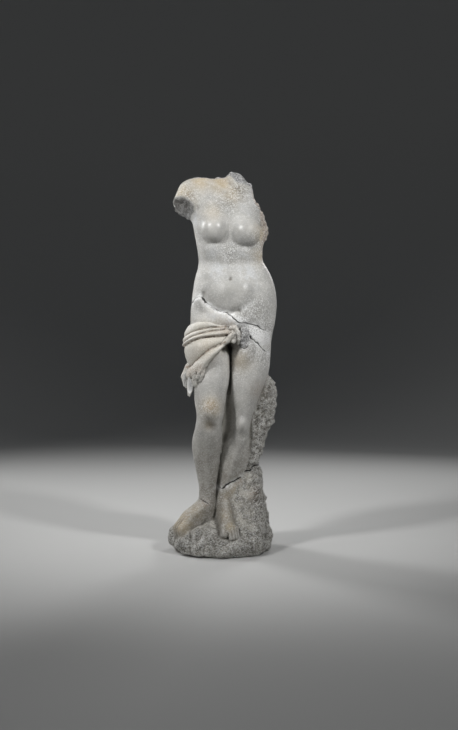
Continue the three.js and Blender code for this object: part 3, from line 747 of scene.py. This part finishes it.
crackEdge = {"wander": 1.7, "wanderSize": 7.0, "chip": 1.2, "chipReach": 9.0, "ragged": 0.45,
             "coarseBand": 6.0, "fineBand": 3.2, "seenFrom": -0.12, "raggedSize": 3.0,
             "patchSize": 9, "patches": (-0.6, 0.1),   # where the edges are chipped
             "cut": (-1.3, -0.4, 0.2, 1.0), "dark": (-1.4, -0.7, 0.3, 0.9)}   # shares of the half width


def steadyRandom(cell, seed):   # one number from 0 to 1 for each whole place
    mixed = cell[..., 0] * 374761393 + cell[..., 1] * 668265263 + cell[..., 2] * 1440662683 + seed * 974711
    mixed = (mixed ^ (mixed >> 13)) * 1274126177
    return ((mixed ^ (mixed >> 16)) & 0xFFFFFF) / float(0xFFFFFF)


def softNoise(points, size, seed):   # from -1 to 1, smooth over the given size
    place = points / size
    low = np.floor(place).astype(np.int64)
    t = place - low
    t = t * t * (3 - 2 * t)
    total = np.zeros(len(points))
    for corner in np.ndindex(2, 2, 2):
        share = np.prod(np.where(np.array(corner), t, 1 - t), axis=1)
        total += share * steadyRandom(low + np.array(corner), seed)
    return total * 2 - 1


def layeredNoise(points, size, layers, seed):
    return sum(softNoise(points, size / 2 ** i, seed + i) / 2 ** i for i in range(layers))


def grainNoise(points, size, seed):   # distance to the nearest of scattered grains
    place = points / size
    low = np.floor(place).astype(np.int64)
    nearest = np.full(len(points), 9.0)
    for step in np.ndindex(3, 3, 3):
        cell = low + np.array(step) - 1
        grain = cell + np.stack([steadyRandom(cell, seed + i) for i in range(3)], 1)
        nearest = np.minimum(nearest, ((place - grain) ** 2).sum(1))
    return np.sqrt(nearest)


def crackDistance(points, facing):   # distance to the nearest crack, its half width, depth and whiteness
    wander = np.stack([softNoise(points, crackEdge["wanderSize"], 11 + i) for i in range(2)], 1)
    wander = wander * crackEdge["wander"]
    x, z = points[:, 0] + wander[:, 0], points[:, 2] + wander[:, 1]
    gap = np.full(len(points), sculpt["far"])
    half, depth, white = np.ones(len(points)), np.zeros(len(points)), np.zeros(len(points))
    for _, side, crackDepth, crackWhite, line in cracks:
        seen = facing[:, 1] * side > crackEdge["seenFrom"]
        for (x0, z0, half0), (x1, z1, half1) in zip(line[:-1], line[1:]):
            along = ((x - x0) * (x1 - x0) + (z - z0) * (z1 - z0)) / ((x1 - x0) ** 2 + (z1 - z0) ** 2)
            along = np.clip(along, 0.0, 1.0)
            distance = np.hypot(x - x0 - along * (x1 - x0), z - z0 - along * (z1 - z0))
            nearer = (distance < gap) & seen
            gap = np.where(nearer, distance, gap)
            half = np.where(nearer, half0 + (half1 - half0) * along, half)
            depth = np.where(nearer, crackDepth, depth)
            white = np.where(nearer, crackWhite, white)
    return gap, half, depth, white


def between(value, low, high):   # rises smoothly from 0 at low to 1 at high
    t = np.clip((value - low) / (high - low), 0.0, 1.0)
    return t * t * (3 - 2 * t)


statueMesh = meshFrom("venus", points, quads)
fineWork = [   # boxes where the carving is finer: lowest and highest corner, times the edges are halved
    ("cloth in front", (-125, -120, 470), (70, -20, 610), 1),
    ("hanging ends", (-120, -110, 400), (-44, -10, 500), 2),
    ("knot", (4, -110, 530), (72, -62, 596), 2),
    ("toes", (-10, -125, 34), (60, -66, 78), 2),
    ("rock in front", (-160, -130, 8), (140, -66, 72), 1),
    ("worn toes", (-136, -68, 60), (-96, -16, 96), 2),
    ("navel", (6, -100, 700), (32, -50, 724), 1),
    ("broken side", (8, -70, 840), (130, 40, 1010), 1),
    ("neck's break", (18, -60, 958), (76, 6, 1008), 2),
    ("arm's break", (-150, -60, 866), (-96, 4, 918), 2),
    ("between the thighs", (4, -78, 396), (36, -20, 542), 1),
    ("support in front", (60, -60, 84), (150, -4, 440), 1),
]
for level in (1, 2):
    points = vertexRows(statueMesh, "co")
    chosen = np.zeros(len(points), bool)
    for _, low, high, times in fineWork:
        if times >= level:
            chosen |= np.all((points > low) & (points < high), axis=1)
    refine(statueMesh, chosen)
    placePoints(statueMesh, settle(vertexRows(statueMesh, "co")))
for band in ("coarseBand", "fineBand"):
    gap = crackDistance(vertexRows(statueMesh, "co"), vertexRows(statueMesh, "normal"))[0]
    refine(statueMesh, gap < crackEdge[band])
print("stone refined:", len(statueMesh.vertices), "points")

# What each place of the surface is: rock, break, filler, worn or polished skin
frontSpots = {   # what is seen on the front: across, up, radius, strength
    "warm": [(-60, 982, 34, 1.0), (-8, 966, 30, 1.0), (-104, 946, 30, 0.9), (-92, 930, 26, 0.6),
             (24, 936, 30, 0.7), (-26, 890, 24, 0.5), (-33, 382, 24, 1.0), (45, 500, 26, 0.5),
             (-40, 560, 50, 0.35), (100, 830, 24, 0.9), (98, 780, 24, 0.6), (-108, 78, 30, 0.8),
             (6, 104, 20, 0.6), (18, 78, 14, 0.6), (-72, 104, 22, 0.4), (10, 140, 18, 0.4),
             (30, 160, 20, 0.5), (-38, 338, 14, 0.5)],
    "brown": [(-31, 384, 14, 0.7), (-86, 476, 22, 0.9), (-66, 482, 20, 0.8), (8, 584, 24, 0.8),
              (-46, 124, 9, 1.0), (-52, 130, 7, 1.0), (82, 148, 16, 0.8), (92, 424, 22, 0.6),
              (42, 184, 8, 0.6), (-46, 522, 26, 0.5), (-76, 504, 18, 0.6), (2, 978, 10, 0.6),
              (-33, 336, 9, 0.35), (-93, 934, 5, 1.0)],
    "paintedLight": [(-14, 738, 22, 0.8), (62, 730, 26, 0.8), (0, 606, 24, 0.9), (-24, 610, 20, 0.7),
             (-72, 872, 16, 1.0), (70, 786, 34, 0.5), (-30, 780, 34, 0.4), (60, 905, 24, 0.4)],
    "polish": [(-24, 846, 36, 1.0), (54, 840, 30, 1.0), (30, 684, 46, 0.9), (-40, 450, 50, 0.5),
               (60, 430, 50, 0.5), (-62, 262, 36, 0.8), (-60, 540, 40, 0.4), (-34, 350, 22, 0.7),
               (18, 240, 36, 0.8), (46, 345, 26, 0.4), (-56, 190, 26, 0.5), (26, 290, 26, 0.6)],
    "bare": [(20, 171, 7, 1.0), (10, 168, 6, 0.9), (58, 592, 9, 0.8), (78, 562, 8, 0.9), (46, 602, 8, 0.7),
             (-66, 671, 9, 0.9), (66, 545, 7, 0.7), (84, 586, 10, 0.5), (-8, 631, 8, 0.9), (6, 628, 8, 0.9),
             (25, 618, 7, 0.9), (-30, 645, 6, 0.7), (62, 640, 9, 0.7), (76, 652, 8, 0.6), (50, 634, 7, 0.7),
             (96, 600, 8, 0.6)],
    # painted shade in the recess of the crotch below the knot
    "deep": [(19, 535, 9, 0.9)],
    "rugged": [(36, 566, 17, 1.0), (54, 562, 18, 1.0), (-88, 452, 24, 0.9), (-68, 462, 20, 0.7),
               (46, 962, 28, 0.5), (92, 900, 18, 0.8), (106, 860, 20, 1.0), (106, 826, 22, 0.8)],
    "worn": [(84, 630, 40, 1.0), (60, 620, 30, 1.0), (110, 590, 40, 1.0), (18, 780, 30, 0.9),
             (6, 910, 34, 0.9), (40, 940, 34, 1.0), (100, 800, 40, 0.9), (-100, 930, 36, 0.9),
             (-40, 376, 30, 1.0), (75, 530, 40, 1.0), (110, 520, 40, 1.0), (45, 470, 40, 0.4),
             (-20, 120, 80, 0.35), (10, 110, 60, 0.4), (-50, 230, 60, 0.2), (30, 230, 50, 0.2),
             (-66, 640, 30, 0.5)],
}
backSpots = {
    "warm": [(10, 950, 70, 0.7), (20, 560, 60, 0.5)],
    "brown": [(0, 600, 30, 0.4)],
    "paintedLight": [(20, 700, 70, 0.4)],
    "polish": [(-28, 600, 55, 0.7), (70, 610, 55, 0.7), (20, 860, 80, 0.5)],
    "worn": [(60, 560, 60, 0.8), (-40, 200, 80, 0.8), (20, 920, 60, 0.6)],
}


def spotMark(name, points, facing):
    mark = np.zeros(len(points))
    for side, table in ((-1, frontSpots), (1, backSpots)):
        seen = between(facing[:, 1] * side, *limits["spotFacing"])
        for x, z, radius, strength in table.get(name, []):
            off = ((points[:, 0] - x) ** 2 + (points[:, 2] - z) ** 2) / radius ** 2
            mark = np.maximum(mark, strength * np.exp(-off) * seen)
    return mark


filler = {"line": [(48, 594), (62, 575), (84, 572), (104, 560)], "reach": 17.0, "edge": 4.0}
neckBreak = {"x": 40, "z": 982, "run": (0.82, -0.57), "half": 30, "wide": 13}   # seen from the front
limits = {   # where each mark begins and where it is full
    "topBreak": (-4.5, -1.5), "topFrom": (800, 830), "greyFrom": (925, 962),
    "scarReach": (-19, -9), "scarDeep": (-42, -18), "scarFrom": (758, 822),
    "stump": (-4, -1.5), "rimFrom": (886, 910), "neck": (-1.1, -0.8), "clothEnd": (-1.5, 0.0),
    "tip": (-1.6, -0.6), "grooveFrom": (466, 480), "grooveTurn": (-200, -170), "gap": (-2.0, 6.0),
    "behind": (0.1, 0.5), "rock": (-1.0, 10.0), "rimOfBase": (-78, -50), "rightEdge": (62, 88),
    "upperSupport": (190, 230), "lowDarkening": (-430, -150), "cloth": (-1.0, 1.5), "spotFacing": (-0.35, 0.2),
}
bounds = {   # where a mark ends at once
    "neckBack": 30, "clothEnd": 3, "tip": 0.5, "tipFacing": -0.2, "webLap": 4, "clearOfCloth": 2,
    "groove": 4, "grooveRight": 8, "fillerFacing": -0.1, "fillerClear": 1,
}
waver = {   # how far an edge wavers, over what length, and its seed
    "grey": (10, 20, 37), "scarSide": (4, 14, 35), "scarDeep": (14, 26, 39), "scarFrom": (26, 22, 36),
    "neck": (0.25, 12, 33), "filler": (5, 14, 31), "rim": (9, 24, 63), "lowDarkening": (40, 60, 61),
}


def wavering(points, name):
    most, size, seed = waver[name]
    return most * softNoise(points, size, seed)


def breakMarks(p, points, facing, clothGap):   # grey broken faces, the tan scar, white tips and the arm's rim
    x, y, z = p
    top = between(-np.abs(topBreakField(p)), *limits["topBreak"]) * between(z, *limits["topFrom"])
    grey = between(z + wavering(points, "grey"), *limits["greyFrom"])   # at the neck, tan below it
    side = -lineDistance(x, z, arm["scarLine"]) - wavering(points, "scarSide")
    deep = -np.abs(y - arm["scarDepth"]) + wavering(points, "scarDeep")
    scar = between(side, *limits["scarReach"]) * between(deep, *limits["scarDeep"])
    scar = scar * between(z + wavering(points, "scarFrom"), *limits["scarFrom"])
    stump = between(-np.abs(plane(p, arm["breakPoint"], arm["breakFacing"])), *limits["stump"])
    stump = stump * (x < arm["stumpRight"])
    broken = np.maximum(top * grey, stump * (z > arm["stumpLow"]))
    runX, runZ = neckBreak["run"]
    along = (x - neckBreak["x"]) * runX + (z - neckBreak["z"]) * runZ
    aside = (x - neckBreak["x"]) * runZ - (z - neckBreak["z"]) * runX
    off = np.hypot(along / neckBreak["half"], aside / neckBreak["wide"]) + wavering(points, "neck")
    broken = np.maximum(broken, between(-off, *limits["neck"]) * (y < bounds["neckBack"]))
    clothEnd = brokenEndField(p)
    torn = between(clothGap - clothEnd, *limits["clothEnd"]) * (clothEnd < bounds["clothEnd"])
    broken = np.maximum(broken, torn)
    tips = np.zeros(len(points))
    for tail in cloth["tails"]:
        if "point" in tail:
            flat = between(-np.abs(plane(p, tail["point"], tail["facing"])), *limits["tip"])
            flat = flat * (chain(p, tail["rows"]) < bounds["tip"]) * (facing[:, 1] < bounds["tipFacing"])
            tips = np.maximum(tips, flat)
    return {"broken": broken, "scar": np.maximum(scar, top * (1 - grey)), "tips": tips,
            "rim": between(z, *limits["rimFrom"]) * stump}


def marksOf(points, facing):   # how much of each finish a place has
    p = tuple(points[:, i].astype(np.float32) for i in range(3))
    x, _, z = p
    figure, web, clothGap = figureField(p), webField(p), slab(p, "cloth", clothField)
    turn = clothTurn(*outline(p, cloth)[1:])
    groove = clothRelief(turn, z)[3] * between(z, *limits["grooveFrom"])
    groove = groove * between(-turn, *limits["grooveTurn"])
    gap, behind = between(figure - web, *limits["gap"]), between(facing[:, 1], *limits["behind"])
    patch = lineDistance(x, z, filler["line"]) + wavering(points, "filler")
    filled = between(-patch, -filler["reach"] - filler["edge"], -filler["reach"])
    filled = filled * (facing[:, 1] < bounds["fillerFacing"]) * (clothGap > bounds["fillerClear"])
    clear = clothGap > bounds["clearOfCloth"]
    rock = between(np.minimum(figure, web - bounds["webLap"]) - rockField(p), *limits["rock"])
    rock = np.maximum(rock, gap * behind) * clear
    shift = wavering(points, "rim")
    coarse = np.maximum(between(-z + shift, *limits["rimOfBase"]), between(x + shift, *limits["rightEdge"]))
    return {
        "rock": rock,
        "coarse": rock * np.maximum(coarse, between(z, *limits["upperSupport"])),   # chiselled, not rubbed
        "gap": gap * (1 - behind) * clear,
        "lowDarkening": between(-z + wavering(points, "lowDarkening"), *limits["lowDarkening"]),
        "cloth": between(figure - clothGap, *limits["cloth"]),
        "groove": groove * (np.abs(clothGap) < bounds["groove"]) * (x < bounds["grooveRight"]),
        "filler": filled,
        **breakMarks(p, points, facing, clothGap),
        **{name: spotMark(name, points, facing) for name in frontSpots},
    }


relief = {   # height, size and seed of each kind of unevenness
    "lump": (9.0, 42, 1), "ledge": (7.0, 22, 5), "pebble": (4.0, 17.0, 7), "grit": (4.0, 8.0, 9),
    "stroke": (3.0, 13, 15), "breakLump": (3.4, 15, 21), "breakGrain": (3.0, 6.5, 23),
    "skinBroad": (0.5, 38, 41), "skinFine": (0.28, 12, 43), "wornGrain": (0.5, 9.0, 45),
    "wornSoft": (0.5, 12, 46), "ruggedLump": (1.5, 9, 25), "ruggedGrain": (1.8, 5.0, 27),
}
rockWork = {   # shape of the rock's ledges, pebbles and chisel strokes
    "ledgeMiddle": 0.45, "pebbleMiddle": 0.55, "strokeStretch": 3.2, "strokeFrom": (80, 140),
    "rubbed": 0.45, "standing": (0.5, 9.0),   # share left where it was rubbed, heights where it sets in
}
reliefShare = {"scar": 0.9, "worn": 0.7, "filler": 0.9, "fillerSink": 1.0}
smoothStrip = {"line": [(56, 200), (42, 140), (34, 92)], "width": 15, "share": 0.8}   # rock beside the ankle


def swell(points, name, layers=1):
    height, size, seed = relief[name]
    return height * layeredNoise(points, size, layers, seed)


def grains(points, name, middle=0.5):
    height, size, seed = relief[name]
    return height * (middle - grainNoise(points, size, seed))


def rockRise(points, facing, marks):
    x, y, z = points.T
    height, size, seed = relief["ledge"]
    slanted = np.stack([x + z, rockWork["strokeStretch"] * (x - z), y], 1)   # strokes rise towards +X
    ledge = height * (rockWork["ledgeMiddle"] - np.abs(softNoise(points, size, seed)))
    rise = swell(points, "lump", 3) + ledge
    rise = rise + grains(points, "pebble", rockWork["pebbleMiddle"]) + grains(points, "grit")
    rise = rise + swell(slanted, "stroke") * between(z, *rockWork["strokeFrom"])
    strip = np.exp(-(lineDistance(x, z, smoothStrip["line"]) / smoothStrip["width"]) ** 2)
    rise = rise * (1 - smoothStrip["share"] * strip * (facing[:, 1] < 0))
    rubbed = rockWork["rubbed"]
    return rise * (rubbed + (1 - rubbed) * marks["coarse"]) * between(z, *rockWork["standing"])


def roughen(points, facing, marks):   # how far the surface moves out, and the cracks and white chips on it
    skin = swell(points, "skinBroad") + swell(points, "skinFine")
    worn = grains(points, "wornGrain") + swell(points, "wornSoft")
    broken = swell(points, "breakLump", 3) + grains(points, "breakGrain")
    rugged = swell(points, "ruggedLump", 2) + grains(points, "ruggedGrain")
    rise = skin * (1 - marks["rock"]) + rockRise(points, facing, marks) * marks["rock"]
    rise += broken * np.maximum(marks["broken"], reliefShare["scar"] * marks["scar"])
    rise += reliefShare["worn"] * worn * marks["worn"] + rugged * marks["rugged"]
    rise += (reliefShare["filler"] * worn - reliefShare["fillerSink"]) * marks["filler"]
    gap, half, depth, white = crackDistance(points, facing)
    ragged = gap + crackEdge["ragged"] * softNoise(points, crackEdge["raggedSize"], 51)

    def inside(name):   # 1 within a crack, less where it narrows to a hair
        outer, inner, hair, wide = crackEdge[name]
        return between(-ragged, half * outer, half * inner) * between(half, hair, wide)

    patches = between(softNoise(points, crackEdge["patchSize"], 53), *crackEdge["patches"])
    chipped = between(-ragged, -crackEdge["chipReach"], -half) * patches
    rise -= depth * inside("cut") + crackEdge["chip"] * chipped
    return rise, inside("dark"), chipped * white


points, facing = vertexRows(statueMesh, "co"), vertexRows(statueMesh, "normal")
marks = marksOf(points, facing)
rise, marks["crack"], marks["chip"] = roughen(points, facing, marks)
points = points + facing * rise[:, None]
points[:, 2] = np.maximum(points[:, 2], 0.0)
placePoints(statueMesh, (points - np.asarray(sculpt["middle"])) * mm)


def hollows(mesh, points, facing, rounds):   # how far each place lies below its neighbours
    edges = np.empty(len(mesh.edges) * 2, np.int32)
    mesh.edges.foreach_get("vertices", edges)
    edges = edges.reshape(-1, 2)
    count = np.bincount(edges.ravel(), minlength=len(points))[:, None]
    even = points.copy()
    for _ in range(rounds):
        total = np.zeros_like(even)
        for i in range(3):
            total[:, i] = (np.bincount(edges[:, 0], even[edges[:, 1], i], len(points))
                           + np.bincount(edges[:, 1], even[edges[:, 0], i], len(points)))
        even = 0.5 * even + 0.5 * total / count
    length = np.linalg.norm(points[edges[:, 0]] - points[edges[:, 1]], axis=1)
    spacing = np.bincount(edges.ravel(), np.repeat(length, 2), len(points)) / count[:, 0]
    return ((even - points) * facing).sum(1) / spacing


facing = vertexRows(statueMesh, "normal")
# 1 for hollows or -1 for edges, rounds of smoothing, where the mark begins and where it is full
# hollow darkens the colour with dirt and painted shade; edge lightens it as a painted highlight
for name, sign, rounds, low, high in (("hollow", 1, 6, 0.09, 0.42), ("edge", -1, 4, 0.06, 0.3)):
    marks[name] = between(sign * hollows(statueMesh, points, facing, rounds), low, high)
for name, mark in marks.items():
    layer = statueMesh.attributes.new(name, "FLOAT", "POINT")
    layer.data.foreach_set("value", np.clip(mark, 0, 1).astype(np.float32))
statueMesh.polygons.foreach_set("use_smooth", np.ones(len(statueMesh.polygons), bool))
triangles = sum(polygon.loop_total - 2 for polygon in statueMesh.polygons)
print("surface worked:", triangles, "triangles")

statue = bpy.data.objects.new("venus", statueMesh)
bpy.context.collection.objects.link(statue)
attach(statue, "root")
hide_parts("venus_statue")


class Wire:   # a value or colour running through a material's nodes
    def __init__(self, tree, socket=None):
        self.tree = tree
        self.socket = socket

    def node(self, kind, settings=None, sockets=None, output=0):
        made = self.tree.nodes.new(kind)
        for name, value in (settings or {}).items():
            setattr(made, name, value)
        for name, value in (sockets or {}).items():
            if isinstance(value, Wire):
                self.tree.links.new(value.socket, made.inputs[name])
            else:
                made.inputs[name].default_value = value
        return Wire(self.tree, made.outputs[output])

    def maths(self, operation, first, second):
        return self.node("ShaderNodeMath", {"operation": operation}, {0: first, 1: second})

    def __add__(self, other):
        return self.maths("ADD", self, other)

    __radd__ = __add__

    def __sub__(self, other):
        return self.maths("SUBTRACT", self, other)

    def __rsub__(self, other):
        return self.maths("SUBTRACT", other, self)

    def __mul__(self, other):
        return self.maths("MULTIPLY", self, other)

    __rmul__ = __mul__

    def between(self, low, high, start=0.0, end=1.0):   # a smooth rise from start at low to end at high
        return self.node("ShaderNodeMapRange", {"interpolation_type": "SMOOTHSTEP"},
                         {"Value": self, "From Min": low, "From Max": high, "To Min": start, "To Max": end})

    def most(self, other):
        return self.maths("MAXIMUM", self, other)

    def towards(self, colour, share):   # this colour mixed with another by a share
        return self.node("ShaderNodeMix", {"data_type": "RGBA"}, {0: share, 6: self, 7: colour}, 2)


stoneLook = {
    "skin": (0.405, 0.398, 0.375, 1), "pale": (0.53, 0.52, 0.492, 1), "cool": (0.34, 0.34, 0.335, 1),
    "warm": (0.50, 0.38, 0.20, 1), "brown": (0.24, 0.145, 0.08, 1), "dirtAndShade": (0.115, 0.105, 0.085, 1),
    "rock": (0.205, 0.195, 0.172, 1), "rockPale": (0.445, 0.425, 0.375, 1), "break": (0.25, 0.25, 0.255, 1),
    "breakPale": (0.55, 0.55, 0.55, 1), "white": (0.92, 0.92, 0.91, 1), "crack": (0.03, 0.029, 0.028, 1),
    "paintedLight": (0.56, 0.575, 0.585, 1), "shade": (0.19, 0.178, 0.14, 1), "scar": (0.47, 0.39, 0.32, 1),
    "lowDarkening": (0.20, 0.182, 0.15, 1), "cloth": (0.60, 0.585, 0.535, 1), "pit": (0.06, 0.056, 0.05, 1),
}
stoneGrain = {   # scale and detail of the noises, and scale of the crystals
    "broad": (11, 4), "mottle": (52, 5), "fine": (330, 3), "speck": (300, 2), "crystal": 420, "dust": 900,
    "roughness": 0.55, "satin": 0.27, "matt": 0.8, "shineGrain": 0.12, "bump": 0.9, "bumpDepth": 0.002,
}


def stoneMaterial():
    material = bpy.data.materials.new("stone")
    material.use_nodes = True
    tree = material.node_tree
    shader = tree.nodes["Principled BSDF"]
    start = Wire(tree)
    place = start.node("ShaderNodeTexCoord", output="Object")
    look, size = stoneLook, stoneGrain

    def mark(name):
        return start.node("ShaderNodeAttribute", {"attribute_name": name}, output="Fac")

    def noise(scale, detail):
        return start.node("ShaderNodeTexNoise", None, {"Vector": place, "Scale": scale, "Detail": detail,
                                                       "Roughness": size["roughness"]})

    def cells(scale, output="Distance"):
        return start.node("ShaderNodeTexVoronoi", None, {"Vector": place, "Scale": scale}, output)

    def blend(share, first, second):   # one colour of the stone turning into another
        return start.node("ShaderNodeMix", {"data_type": "RGBA"},
                          {0: share, 6: look[first], 7: look[second]}, 2)

    broad, mottle, fine, speck = (noise(*size[name]) for name in ("broad", "mottle", "fine", "speck"))
    grain, dust = cells(size["crystal"]), cells(size["dust"])
    fleck = start.node("ShaderNodeSeparateColor", None, {0: cells(size["crystal"], "Color")}, 0)
    rock, coarse, broken, filled = (mark(name) for name in ("rock", "coarse", "broken", "filler"))
    scar, worn, rugged, edge = (mark(name) for name in ("scar", "worn", "rugged", "edge"))
    rough = worn.most(rock * 0.6).most(coarse).most(broken).most(filled)
    rough = rough.most(scar).most(rugged).most(0.32 * (1 - mark("polish")))
    speckled = worn.most(coarse * 0.7).most(rock * 0.3).most(broken)
    pitted = broken.most(rugged).most(coarse * mottle.between(0.4, 0.6))
    rockMix = blend(mottle.between(0.36, 0.64), "rock", "rockPale")
    breakMix = blend(fine.between(0.42, 0.6), "break", "breakPale")
    fillerMix = breakMix.towards(look["white"], 0.8)
    tints = dict(look, rockMix=rockMix, breakMix=breakMix, fillerMix=fillerMix)
    layers = [   # tints laid over the skin one after another, each with its share
        ("cool", mottle.between(0.46, 0.7) * 0.4),
        # darker towards the bottom of the stone
        ("lowDarkening", mark("lowDarkening") * mottle.between(0.3, 0.6, 0.5, 0.8)),
        ("cloth", mark("cloth") * 0.85),
        # paler, cooler patches painted where light falls on the torso and back: painted light
        ("paintedLight", mark("paintedLight") * mottle.between(0.36, 0.56) * 0.85),
        ("warm", mark("warm") * broad.between(0.3, 0.6, 0.35, 0.8)),
        ("scar", scar * mottle.between(0.3, 0.5, 0.5, 0.95)),
        ("rockMix", rock),
        ("white", mottle.between(0.54, 0.68) * coarse * 0.4),
        ("dirtAndShade", mottle.between(0.47, 0.34) * coarse * 0.55),
        ("white", fleck.between(0.6, 0.9) * (0.08 + rough * 0.5) * (1 - coarse * 0.2)),
        ("white", speck.between(0.55, 0.66) * speckled * 0.8),
        ("dirtAndShade", speck.between(0.44, 0.34) * (coarse * 0.6).most(broken) * 0.5),
        ("dirtAndShade", fleck.between(0.4, 0.08) * fine.between(0.4, 0.6) * (0.02 + rough * 0.4)),
        ("brown", mark("brown") * fine.between(0.38, 0.6) * 0.7),
        ("breakMix", broken * 0.9),
        ("fillerMix", filled * fine.between(0.4, 0.58, 0.2, 1.0)),
        ("pit", speck.between(0.46, 0.36) * pitted * 0.8),
        ("white", mark("tips") * 0.9),
        ("white", mark("chip") * 0.85),
        ("white", mark("bare") * fine.between(0.36, 0.56)),
        ("shade", mark("gap") * 0.6),
        # the crotch's recess below the knot darkened with the crack's black: painted shade
        ("crack", mark("deep") * 0.8),
        ("dirtAndShade", mark("rim") * fine.between(0.3, 0.6, 0.2, 0.55)),
        ("brown", mark("groove") * fine.between(0.3, 0.6, 0.3, 0.8)),
        # hollows of the surface darkened: dirt gathered there and painted shade
        ("dirtAndShade", mark("hollow") * mottle.between(0.25, 0.6, 0.35, 0.8)),
        # raised edges painted paler, and whiter on the chiselled rock: painted highlight
        ("pale", edge * 0.35),
        ("white", edge * coarse * 0.12),
        ("crack", mark("crack") * 0.95),
    ]
    colour = blend(broad.between(0.4, 0.64), "skin", "pale")
    for tint, share in layers:
        colour = colour.towards(tints[tint], share)
    tree.links.new(colour.socket, shader.inputs["Base Color"])

    shine = rough.between(0.0, 0.9, size["satin"], size["matt"]) + fine * size["shineGrain"]
    tree.links.new(shine.socket, shader.inputs["Roughness"])

    height = grain * rough * 1.3 + dust * rough * 0.5 + fine * (rough * 1.1) + mottle * rough * 0.6
    bump = start.node("ShaderNodeBump", None, {"Strength": size["bump"], "Distance": size["bumpDepth"],
                                               "Height": height})
    tree.links.new(bump.socket, shader.inputs["Normal"])
    return material


statueMesh.materials.append(stoneMaterial())
print("stone finished")

# Stage: a pale floor, soft lights and the camera
stage = {
    "hub": 0.001, "flat": 3.2, "sweep": 2.8, "tall": 5.0, "steps": 12, "around": 72,
    "colour": (0.56, 0.56, 0.55, 1), "roughness": 0.9,
    "world": (0.80, 0.85, 0.92, 1), "worldStrength": 0.06,
}


def floorSweep():   # a round floor that sweeps up on every side
    profile = [(stage["hub"], 0.0), (stage["flat"], 0.0)]
    for i in range(1, stage["steps"] + 1):
        angle = i / stage["steps"] * math.pi / 2
        out, up = stage["sweep"] * math.sin(angle), stage["sweep"] * (1 - math.cos(angle))
        profile.append((stage["flat"] + out, up))
    profile.append((stage["flat"] + stage["sweep"], stage["tall"]))
    around = stage["around"]
    turns = [2 * math.pi * i / around for i in range(around)]
    corners = [(r * math.cos(t), r * math.sin(t), z) for r, z in profile for t in turns]
    faces = []
    for ring in range(0, around * (len(profile) - 1), around):
        for i in range(around):
            after = (i + 1) % around
            faces.append((ring + i, ring + after, ring + around + after, ring + around + i))
    mesh = bpy.data.meshes.new("floor")
    mesh.from_pydata(corners, [], faces)
    mesh.polygons.foreach_set("use_smooth", np.ones(len(faces), bool))
    material = bpy.data.materials.new("floor")
    material.use_nodes = True
    shader = material.node_tree.nodes["Principled BSDF"]
    shader.inputs["Base Color"].default_value = stage["colour"]
    shader.inputs["Roughness"].default_value = stage["roughness"]
    mesh.materials.append(material)
    floor = bpy.data.objects.new("floor", mesh)
    bpy.context.collection.objects.link(floor)


floorSweep()
world = bpy.data.worlds.new("studio")
bpy.context.scene.world = world
world.use_nodes = True
world.node_tree.nodes["Background"].inputs["Color"].default_value = stage["world"]
world.node_tree.nodes["Background"].inputs["Strength"].default_value = stage["worldStrength"]

lamps = [   # place and aim in metres, size of the soft box, power in watts, spread of the light in degrees
    {"name": "left", "place": (-1.28, -1.15, 1.8), "aim": (0, 0, 0.7), "size": (0.3, 0.36), "power": 3.0,
     "spread": 58},
    {"name": "right", "place": (1.2, -1.25, 1.6), "aim": (0.04, 0, 0.68), "size": (0.25, 0.3), "power": 2.75,
     "spread": 58},
    {"name": "left side", "place": (-1.6, -0.7, 0.65), "aim": (0, 0, 0.55), "size": (0.3, 0.5), "power": 0.55,
     "spread": 70, "mirrored": False},
    {"name": "above", "place": (-0.2, 0.1, 2.4), "aim": (0, 0, 0.6), "size": (0.8, 0.8), "power": 4},
    {"name": "behind left", "place": (-1.5, 1.3, 1.7), "aim": (0, 0, 0.55), "size": (0.5, 0.5), "power": 22},
    {"name": "behind right", "place": (0.8, 1.9, 1.5), "aim": (0, 0, 0.55), "size": (0.5, 0.5), "power": 12},
]
for lamp in lamps:
    light = bpy.data.lights.new(lamp["name"], "AREA")
    light.shape = "RECTANGLE"
    light.size, light.size_y = lamp["size"]
    light.energy = lamp["power"]
    light.spread = math.radians(lamp.get("spread", 180))
    holder = bpy.data.objects.new(lamp["name"], light)
    holder.location = lamp["place"]
    holder.visible_glossy = lamp.get("mirrored", True)   # whether polished stone shows it as a highlight
    holder.rotation_euler = (Vector(lamp["aim"]) - Vector(lamp["place"])).to_track_quat("-Z", "Y").to_euler()
    bpy.context.collection.objects.link(holder)

view = {"eye": (14.6, -2350.0, 490.0), "focal": 884.0, "frameHeight": 730.0, "sensor": 36.0}
camera = bpy.data.cameras.new("camera")
camera.sensor_width = view["sensor"]
camera.lens = view["sensor"] * view["focal"] / view["frameHeight"]
eye = bpy.data.objects.new("camera", camera)
eye.location = [(v - m) * mm for v, m in zip(view["eye"], sculpt["middle"])]
eye.rotation_euler = (math.radians(90), 0, 0)
bpy.context.collection.objects.link(eye)
bpy.context.scene.camera = eye
bpy.context.scene.view_settings.view_transform = "Standard"
